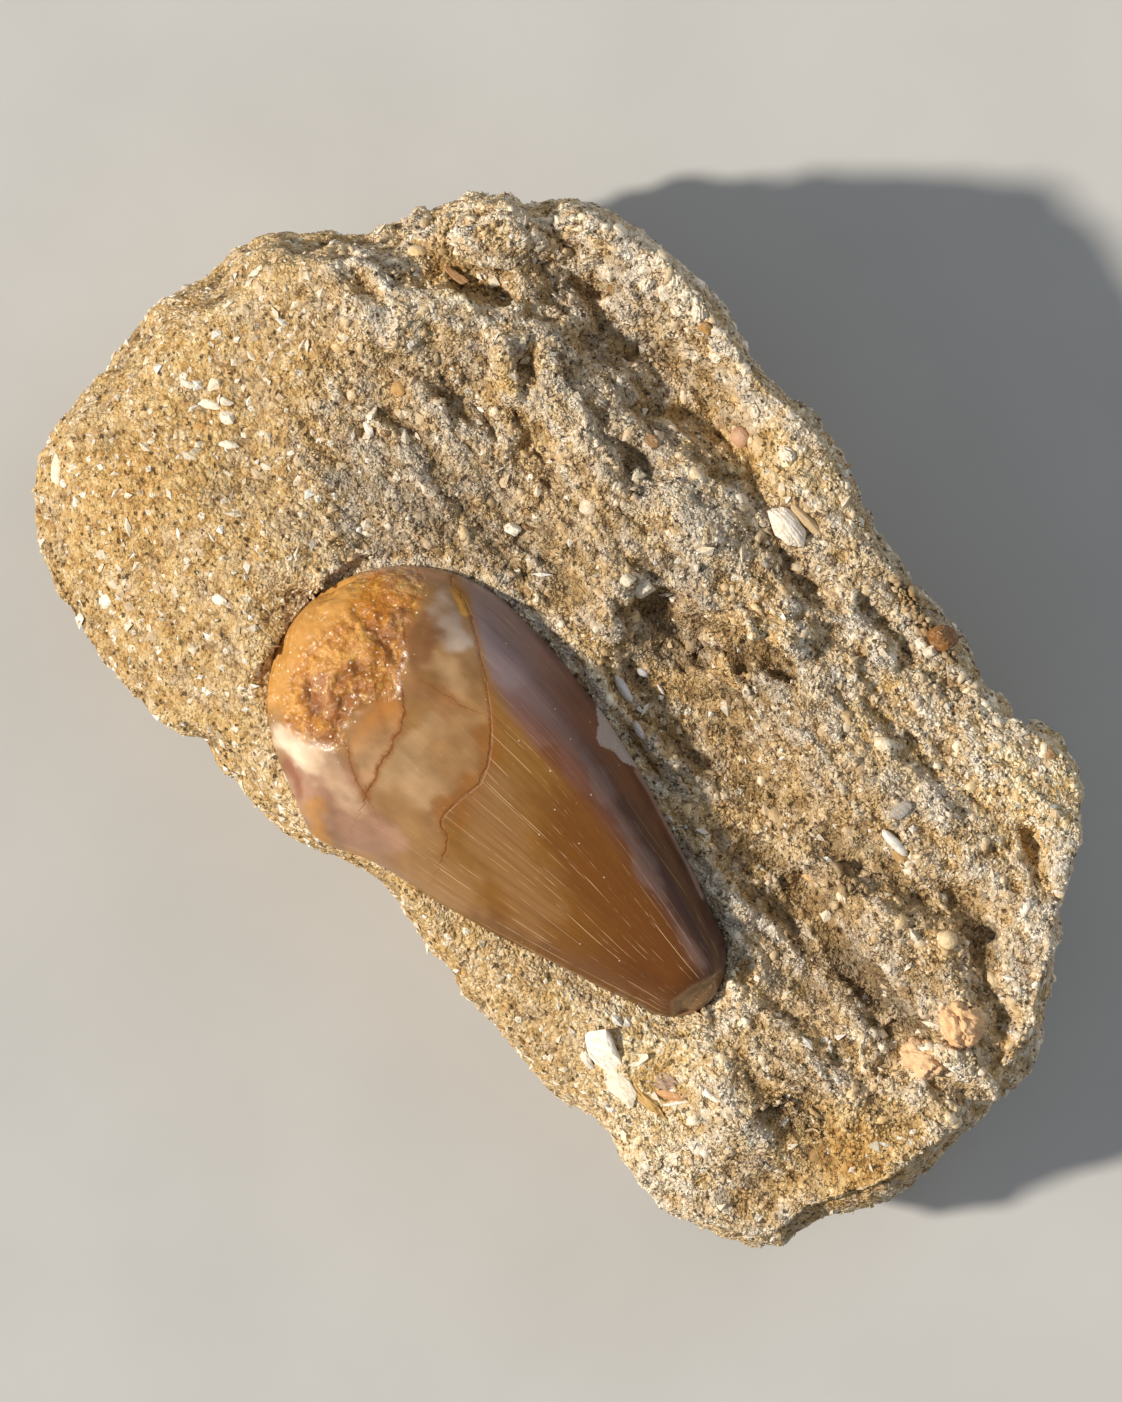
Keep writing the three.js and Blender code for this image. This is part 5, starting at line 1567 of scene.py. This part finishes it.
# Colour, strength, how far from its path it is full, how softly it ends, and the path.
WASHES = {
    "pale underside of the curve": ((0.35, 0.19, 0.075), 0.7, 0.8, 3, [(16, -8), (21, -7.6), (25, -6.6)]),
    "brown low edge": ((0.13, 0.045, 0.008), 0.65, 0.6, 1.8, [(29, -7.2), (37.4, -5.3), (42, -4.1), (45.6, -3.1)]),
    "glow beside the crack": (
        (0.25, 0.085, 0.008), 0.6, 0.1, 1.3, [(18.8, 6), (20.8, 3.2), (21.2, 1), (21.2, -2)]),
    "amber core": ((0.15, 0.047, 0.004), 0.75, 0.8, 3.4, [(28, 4.6), (34.1, 2.9), (39.5, 1.8), (43, 0.9)]),
    "tan shoulder": ((0.31, 0.16, 0.062), 0.6, 0.8, 3, [(22, 2), (26, -1), (31, -2.6)]),
    "olive band": ((0.215, 0.11, 0.034), 0.6, 0.3, 1.6, [(18.4, 4.2), (19.6, 1.8), (19, -1.6), (20, -3.6)]),
}
PLUM_WASHES = {
    # A painted sheen of the sky, pale lavender over the flank near the base.
    "painted lavender sheen": ((0.3, 0.218, 0.203), 0.4, 0.9, 2.2, [(9.5, 13.6), (12.8, 13), (17, 12)]),
    "red brown border": ((0.15, 0.05, 0.012), 0.7, 0.2, 1.2, [(24, 7.1), (28.4, 6.3), (31.8, 5.4), (36, 4.4)]),
    "dark band": ((0.068, 0.031, 0.021), 0.65, 0.5, 1.2, [(31.9, 8.8), (36.8, 7), (40.5, 5.8), (44.1, 4.5)]),
    "lit streak": ((0.2, 0.13, 0.108), 0.6, 0.15, 0.8, [
        (26, 9.6), (30.2, 8.1), (34.3, 6.3), (38.1, 4.9), (41.4, 3.5), (44.6, 2.3)]),
}
PANEL_WASHES = {
    "cream panel": ((0.31, 0.168, 0.066), 0.85, 2, 3, [(12.5, 4.5), (16, 3.5), (17.5, 0.5), (15.5, -3)]),
    "cloud": ((0.45, 0.29, 0.155), 0.6, 0.5, 2, [(14.2, -2.6), (15.3, -0.8), (17.8, -1.8)]),
    "olive stain by the crack": ((0.25, 0.12, 0.03), 0.6, 0.3, 1.6, [(11.3, 5.4), (13, 3.6), (12.6, 1.8)]),
    "orange stain by the step": (
        (0.25, 0.085, 0.01), 0.7, 0.2, 1.2, [(18.6, 5.6), (20.2, 3.2), (20.5, 0.6), (20.2, -1.8)]),
    "pale band": ((0.42, 0.255, 0.12), 0.6, 0.25, 1.1, [(13.9, -2.2), (14.6, 0.6), (14.9, 3.4)]),
    "pale band above": ((0.46, 0.29, 0.15), 0.5, 0.2, 1, [(11, 6.3), (13, 7.6), (14.5, 7.6)]),
    "red vein": ((0.2, 0.075, 0.026), 0.65, 0.2, 1, [(8.2, 8.1), (10.4, 6.1), (10.4, 7.6), (9.9, 9.6), (8.7, 9.8)]),
    "red vein tail": ((0.24, 0.1, 0.036), 0.5, 0.2, 0.9, [(11.4, 4.6), (13, 5.6), (15, 5.2)]),
    # A painted sheen of the sky, pale blue by the upper end of the step.
    "painted blue sheen": ((0.46, 0.36, 0.29), 0.75, 0.25, 1.3, [(8.8, 11.5), (10, 11.1), (11.9, 10.1)]),
    "base crest": ((0.36, 0.2, 0.115), 0.8, 0.7, 1.4, [(4.6, 12.4), (7, 13.4), (8.6, 13.8)]),
    "golden crust": ((0.66, 0.33, 0.06), 0.95, 0.2, 0.35, [(8.8, 13.1), (9.8, 12.75), (10.6, 12.4)]),
    "mauve": ((0.37, 0.205, 0.135), 0.85, 1.4, 2.4, [(9.6, -7), (12.5, -7.8), (14.8, -8.4), (16.6, -8.2)]),
    "milky spot": ((0.78, 0.62, 0.46), 0.9, 0.25, 1.3, [(6.2, -5.5), (7.4, -5.6), (8.8, -5.6)]),
    "milky tail": ((0.58, 0.39, 0.245), 0.7, 0.5, 1.3, [(9.6, -5.6), (11.5, -5.5), (13.4, -6.2)]),
    "red margin": ((0.23, 0.075, 0.026), 0.8, 0.25, 0.6, [(7.6, -7.6), (9.1, -7.9), (9.9, -9)]),
    "orange spot": ((0.5, 0.21, 0.03), 0.8, 0.35, 0.6, [(13.4, -10.4), (14.4, -10.8)]),
    "orange foot": ((0.4, 0.19, 0.045), 0.75, 0.4, 1.2, [(11.4, -9.2), (13, -9.8), (15, -10.9), (18.5, -9.6)]),
}
ROOT_WASHES = {
    "pale gold margin": ((0.6, 0.315, 0.085), 0.75, 0.8, 2.4, [(2.8, -4.2), (1.6, -2), (1, 3), (1.8, 7)]),
    "deep orange": ((0.42, 0.155, 0.01), 0.85, 0.6, 1.6, [(3.2, 9.6), (4, 7.6), (5.2, 6.4), (8.2, 1.2)]),
    "gold": ((0.64, 0.34, 0.09), 0.7, 0.6, 1.2, [(5.4, 5), (6.4, 3), (5, 1.2)]),
    "pale edge of the root": ((0.5, 0.34, 0.21), 0.85, 0.6, 1.2, [(1, 9), (3, 11.4), (5.4, 12.2)]),
    "brown heart": ((0.3, 0.115, 0.02), 0.6, 0.8, 1.8, [(8.6, 4.6), (8.4, 1.6), (8.8, -2)]),
    "mauve recess": ((0.4, 0.2, 0.11), 0.7, 0.4, 1.2, [(5.2, -1.2), (6.6, -2)]),
    "brown recess": ((0.22, 0.11, 0.05), 0.75, 0.3, 0.9, [(6.3, 8.4), (7, 7.6), (8, 7)]),
    "orange low margin": ((0.44, 0.18, 0.025), 0.8, 0.4, 1, [(7.2, -4.2), (8.6, -3.4), (9.6, -2.6)]),
}
TONGUE_STOPS = np.array([
    (8, 0.32, 0.115, 0.014), (10.5, 0.36, 0.15, 0.035), (13.5, 0.43, 0.25, 0.12), (16.5, 0.4, 0.23, 0.12)])
PALE_EDGE = [(30.4, 11.4), (32.4, 10.8), (35.2, 9.7), (38.4, 8.4), (41.5, 7)]
PANEL_COLOUR, ROOT_COLOUR, RECESS_COLOUR = (0.29, 0.155, 0.06), (0.49, 0.205, 0.03), (0.17, 0.06, 0.02)
FACET_COLOUR, PALE_EDGE_COLOUR, UNDERSIDE_COLOUR = (0.3, 0.175, 0.085), (0.44, 0.31, 0.25), (0.12, 0.062, 0.036)


# %% Paint the crown
def stops_at(s, stops):
    """The colour at s, straight between the stops."""
    return np.stack([np.interp(s, stops[:, 0], stops[:, channel]) for channel in (1, 2, 3)], axis=1)


def wash(colour, tint, cover):
    """Lays a tint over a colour: the colour plus the cover's share of the way to the tint."""
    return colour + (np.asarray(tint) - colour) * cover[:, None]


def washed_over(colour, washes, share=1.0):
    """Layers of thin paint: each goes from full cover near its path to none, over a border pushed about by noise."""
    for number, (tint, strength, full, soft, path) in enumerate(washes.values()):
        ragged = layered_noise(s / 1.5, w, 7 * number, 1.6, 4)
        pushed = path_distance(s, w, path) + 0.8 * min(soft, 1.4) * ragged
        colour = wash(colour, tint, strength * share * ease((full + soft - pushed) / soft))
    return colour


cloud = layered_noise(s / 2.0, w, 0, 5.0, 3)
mottle = layered_noise(s / 1.3, w, 60, 1.6, 4)
crown = washed_over(stops_at(s + 3.0 * cloud, BODY_STOPS) * (1 + 0.10 * cloud[:, None]), WASHES)
on_panel = ease((0.05 - step_side) / 0.1) * ease((24.5 - s) / 4)
crown = washed_over(wash(crown, PANEL_COLOUR, 0.8 * on_panel), PANEL_WASHES, on_panel)
crown = crown * (1 + (0.22 * on_panel * mottle)[:, None] * (1.0, 1.1, 1.25))
in_plum = ease((plum + 0.2 + 0.5 * cloud) / 1.5) * ease((step_side + 0.1) / 0.2)
plum_colour = stops_at(s + 2.0 * cloud, PLUM_STOPS) * (1 + 0.15 * layered_noise(s / 4, w, 3, 1.6, 2)[:, None])
crown = wash(crown, washed_over(plum_colour, PLUM_WASHES), in_plum)
in_tongue = ease((tongue_edge + 0.25 + 0.3 * cloud) / 0.9) * ease((s + 0.2 * w - 8.9) / 1.8)
crown = wash(crown, stops_at(s - 0.5 * w, TONGUE_STOPS) * (1 + 0.35 * mottle[:, None]), in_tongue)
crown = wash(crown, FACET_COLOUR, 0.8 * ease((facet + 0.2) / 0.5))
crown = wash(crown, PALE_EDGE_COLOUR, 0.7 * ease((0.40 + 0.15 * cloud - path_distance(s, w, PALE_EDGE)) / 0.25))
root_colour = washed_over(np.tile(ROOT_COLOUR, (len(s), 1)), ROOT_WASHES)
crown = wash(crown, wash(root_colour, RECESS_COLOUR, 0.7 * ease(recess / 0.8)), in_root)
crown = wash(crown, UNDERSIDE_COLOUR, np.where(tooth_upper, 0.0, 0.55 * ease((s + 3 * cloud - 4) / 10)))
crown = np.clip(crown, 0, 1)
tooth_marks = {
    "along": tooth_length_at, "share": tooth_share, "half": tooth_half, "root": root_edge, "step": step_side,
    "crack": side_distance(s, w, ROOT_CRACK), "tongue": side_distance(s, w, TONGUE_CRACK),
    "second": side_distance(s, w, SECOND_CRACK), "plum": plum, "chip": chip_edge, "facet": facet, "body": crown,
    "smooth_root": ease((path_distance(s, w, ROOT_WASHES["pale gold margin"][4]) - 0.6) / 1.8),
}
print("crown colours from", np.round(crown.min(0), 2), "to", np.round(crown.max(0), 2))

# %% [markdown]
# ## Enamel
#
# Fossil enamel is glassy, with pale hairline cracks that fan from the tip. They follow the tooth's own share of width,
# so that they close in towards the tip. The lines are measured in millimetres, from distances kept on the mesh, so they
# stay crisp however coarse the mesh is. The bare root end is a crust of orange crumbs.

# %% Enamel material
enamel, tree, shader = new_material(
    "enamel", Specular_IOR_Level=0.35, Subsurface_Weight=0.14, Subsurface_Scale=0.0012,
    Subsurface_Radius=(1.0, 0.45, 0.2), Coat_Roughness=0.2)
place = object_millimetres()
along, share, half, step, root, worn = (mark(name) for name in ("along", "share", "half", "step", "root", "facet"))
own = add_node("CombineXYZ", (along, times(share, 12.0))).outputs[0]  # the crown's own place
streak = noise(stretched(own, (0.05, 1.0, 1.0)), 1.6, 4.0, 0.6)
fine_streak = noise(stretched(own, (0.03, 1.0, 1.0)), 6.0, 3.0, 0.65)
crust, grit = noise(place, 3.2, 3.0, 0.7), noise(place, 9.0, 2.0, 0.6)
off_panel = times_plus(larger(between(step, -0.4, 0.1), between(along, 19.0, 26.0)), 0.75, 0.25)
on_crown = times(times(between(along, 8.0, 15.0), between(root, -0.2, -0.8)), off_panel)
body = mark("body", "Color")
for tint, pattern, low, high, strength in (
        ((0.10, 0.036, 0.008), streak, 0.40, 0.68, 0.28), ((0.50, 0.30, 0.14), fine_streak, 0.55, 0.72, 0.12),
        ((0.07, 0.026, 0.008), fine_streak, 0.45, 0.30, 0.20)):
    body = layer(body, tint, pattern, low, high, strength, on_crown)

# %% Hairlines
# Bands of share, bent by slow noise, are drawn where the fraction of their number crosses a half. The way off the
# middle of a band, times the band's width in millimetres, is how far a point is from the line.
bend = noise(stretched(own, (0.035, 0.06, 1.0)), 1.0, 1.0, 0.5)


def hairlines(per_unit, reach, fewest, most, seed):
    """Lines as many to a unit of share, a reach wide, drawn where their own noise is past fewest."""
    number = times_plus(share, per_unit, times_plus(bend, per_unit * 0.4, seed))
    off = times(size_of(minus(calc("FRACT", number), 0.5)), calc("DIVIDE", half, per_unit))
    strand = add_node("CombineXYZ", (times(along, 0.11), times(calc("FLOOR", number), 3.7), seed)).outputs[0]
    drawn = between(noise(strand, 1.0, 4.0, 0.75), fewest, fewest + 0.1, 0.0, most)
    return times(between(off, reach, reach * 0.4), drawn)


lines = larger(hairlines(8.0, 0.042, 0.50, 0.60, 0.3), hairlines(17.0, 0.034, 0.52, 0.42, 4.1))
lines = times(times(lines, between(worn, -0.1, -0.5)), on_crown)
lines = times(lines, between(mark("plum"), -0.2, 1.5, 1.0, 0.4))
body = blend(lines, body, (0.66, 0.46, 0.26))

# %% Cracks
# Each has a thin dark core that comes and goes, a warm stain round it, and the two long ones a few pale dashes beside
# it, a painted highlight on the crack's lip. For each: how wide, how dark and how stained.
drift = noise(place, 0.7, 2.0, 0.5)
wander = plus(times_plus(crust, 0.24, -0.12), times_plus(drift, 0.9, -0.45))
for name, reach, dark, stain in (("step", 0.08, 0.7, 0.55), ("crack", 0.14, 0.6, 0.9), ("tongue", 0.09, 0.45, 0.6),
                                 ("second", 0.05, 0.5, 0.4)):
    side = plus(mark(name), wander)
    stained = times(between(size_of(side), 0.55, 0.05, 0.0, stain), between(crust, 0.38, 0.56, 0.3, 1.0))
    core = times(between(size_of(side), reach, reach * 0.4), between(grit, 0.30, 0.45, 0.35, dark))
    body = blend(core, blend(stained, body, (0.27, 0.090, 0.010)), (0.095, 0.034, 0.010))
    # The pale dashes are a painted highlight along the lip.
    if name in ("step", "crack"):
        body = layer(body, (0.74, 0.54, 0.32), grit, 0.62, 0.70, 0.5, between(size_of(minus(side, 0.12)), 0.08, 0.04))

# %% Chip, facet and root crust
# The chip in the edge shows the pale chalky body, its border eaten at by noise. The root has golden and pale crumbs
# with red-brown gaps between them, over the clouded orange.
chipped = between(times_plus(crust, 0.7, mark("chip")), 0.30, 0.42)
chalk = blend(between(grit, 0.35, 0.65), (0.40, 0.33, 0.295), (0.55, 0.48, 0.43))
body = blend(times(chipped, 0.9), body, chalk)
body = layer(body, (0.62, 0.46, 0.30), crust, 0.58, 0.68, 0.7, between(worn, 0.0, 0.5))
granule, fine_granule = cells(warp(place, 1.2, 0.7), 1.0), cells(warp(place, 2.0, 0.4), 2.3)
root_mask = between(times_plus(crust, 1.4, root), 0.1, 1.3)
rough = times(root_mask, times_plus(mark("smooth_root"), 0.75, 0.25))
clump = noise(place, 0.8, 4.0, 0.65)
for tint, pattern, low, high, strength in (
        ((0.36, 0.115, 0.012), fine_granule["Distance"], 0.35, 0.75, 0.45),
        ((0.34, 0.105, 0.014), clump, 0.50, 0.34, 0.4), ((0.76, 0.42, 0.10), clump, 0.52, 0.66, 0.55)):
    body = layer(body, tint, pattern, low, high, strength, rough)
pale_crumbs = times(between(first_of(fine_granule["Color"]), 0.86, 0.94, 0.0, 0.6),
                    between(fine_granule["Distance"], 0.42, 0.25))
body = blend(times(root_mask, pale_crumbs), body, (0.84, 0.64, 0.38))
# Pale specks of dust on the crown, and glints on the root that are painted highlights.
dust, root_glints = (cells(place, scale)["Distance"] for scale in (0.7, 1.3))
dust_and_glints = larger(times(between(dust, 0.06, 0.04, 0.0, 0.5), on_crown),
                times(between(root_glints, 0.17, 0.08, 0.0, 0.9), between(root, -1.5, 0.0)))
feed(shader["Base Color"], blend(dust_and_glints, body, (0.92, 0.80, 0.62)))

# %% Gloss and relief of the enamel
matt = larger(times(rough, 0.03), times(chipped, 0.3))
feed(shader["Roughness"], plus(times_plus(fine_streak, 0.16, 0.24), matt))
feed(shader["Coat Weight"], times_plus(matt, -0.4, 0.12, clamp=True))
relief = minus(times_plus(fine_streak, 0.3, times(streak, 0.35)), times(lines, 0.12))
relief = minus(relief, times(between(size_of(step), 0.2, 0.04), 0.4))
root_relief = times_plus(granule["Distance"], -0.5, times(crust, 0.8))
root_relief = times(rough, times_plus(fine_granule["Distance"], -0.5, root_relief))
feed(shader["Normal"], bumped(root_relief, 0.6, 0.0003, bumped(relief, 0.5, 0.00015)))
make_piece("tooth_crown", tooth, tooth_triangles, enamel, tooth_marks, "enamel", "tooth")

# %% [markdown]
# ## Floor and light
#
# The floor is a plain pale sheet. A warm lamp low on the left rakes across the rock, and a soft cool sky fills the
# shadows, as daylight from a window does.

# %% Floor
FLOOR_REACH = 3.0
floor_mesh = bpy.data.meshes.new("floor")
corners = [(FLOOR_REACH * x, FLOOR_REACH * y, 0) for x, y in ((-1, -1), (1, -1), (1, 1), (-1, 1))]
floor_mesh.from_pydata(corners, [], [(0, 1, 2, 3)])
floor_material, tree, shader = new_material("pale floor", Roughness=0.85, Specular_IOR_Level=0.2)
paper = between(noise(object_millimetres(), 0.05, 3.0), 0.3, 0.7)
feed(shader["Base Color"], blend(paper, (0.52, 0.51, 0.495), (0.545, 0.535, 0.52)))
floor_mesh.materials.append(floor_material)
floor = add_object("floor", floor_mesh)


# %% Lights
def sun(name, towards, colour, strength, softness):
    """A distant lamp. towards is the direction from the block to the lamp."""
    lamp = add_object(name, bpy.data.lights.new(name, "SUN"))
    lamp.data.color, lamp.data.energy, lamp.data.angle = colour, strength, math.radians(softness)
    lamp.rotation_euler = Vector(towards).to_track_quat("Z", "Y").to_euler()


SKY_COLOUR, SKY_STRENGTH = (0.86, 0.93, 1.0, 1.0), 0.28
sun("key", (-0.495, -0.636, 0.59), (1.0, 0.93, 0.82), 4.4, 4.0)
sun("fill", (0.0, 0.85, 0.6), (0.85, 0.92, 1.0), 0.5, 40.0)
world = bpy.data.worlds.new("sky")
world.use_nodes = True
sky = world.node_tree.nodes["Background"].inputs
sky["Color"].default_value, sky["Strength"].default_value = SKY_COLOUR, SKY_STRENGTH
bpy.context.scene.world = world
print("two lamps and a sky")

# %% Measure and finish
print("solid box ", np.round(np.array(cad_box) / MM, 2).tolist())
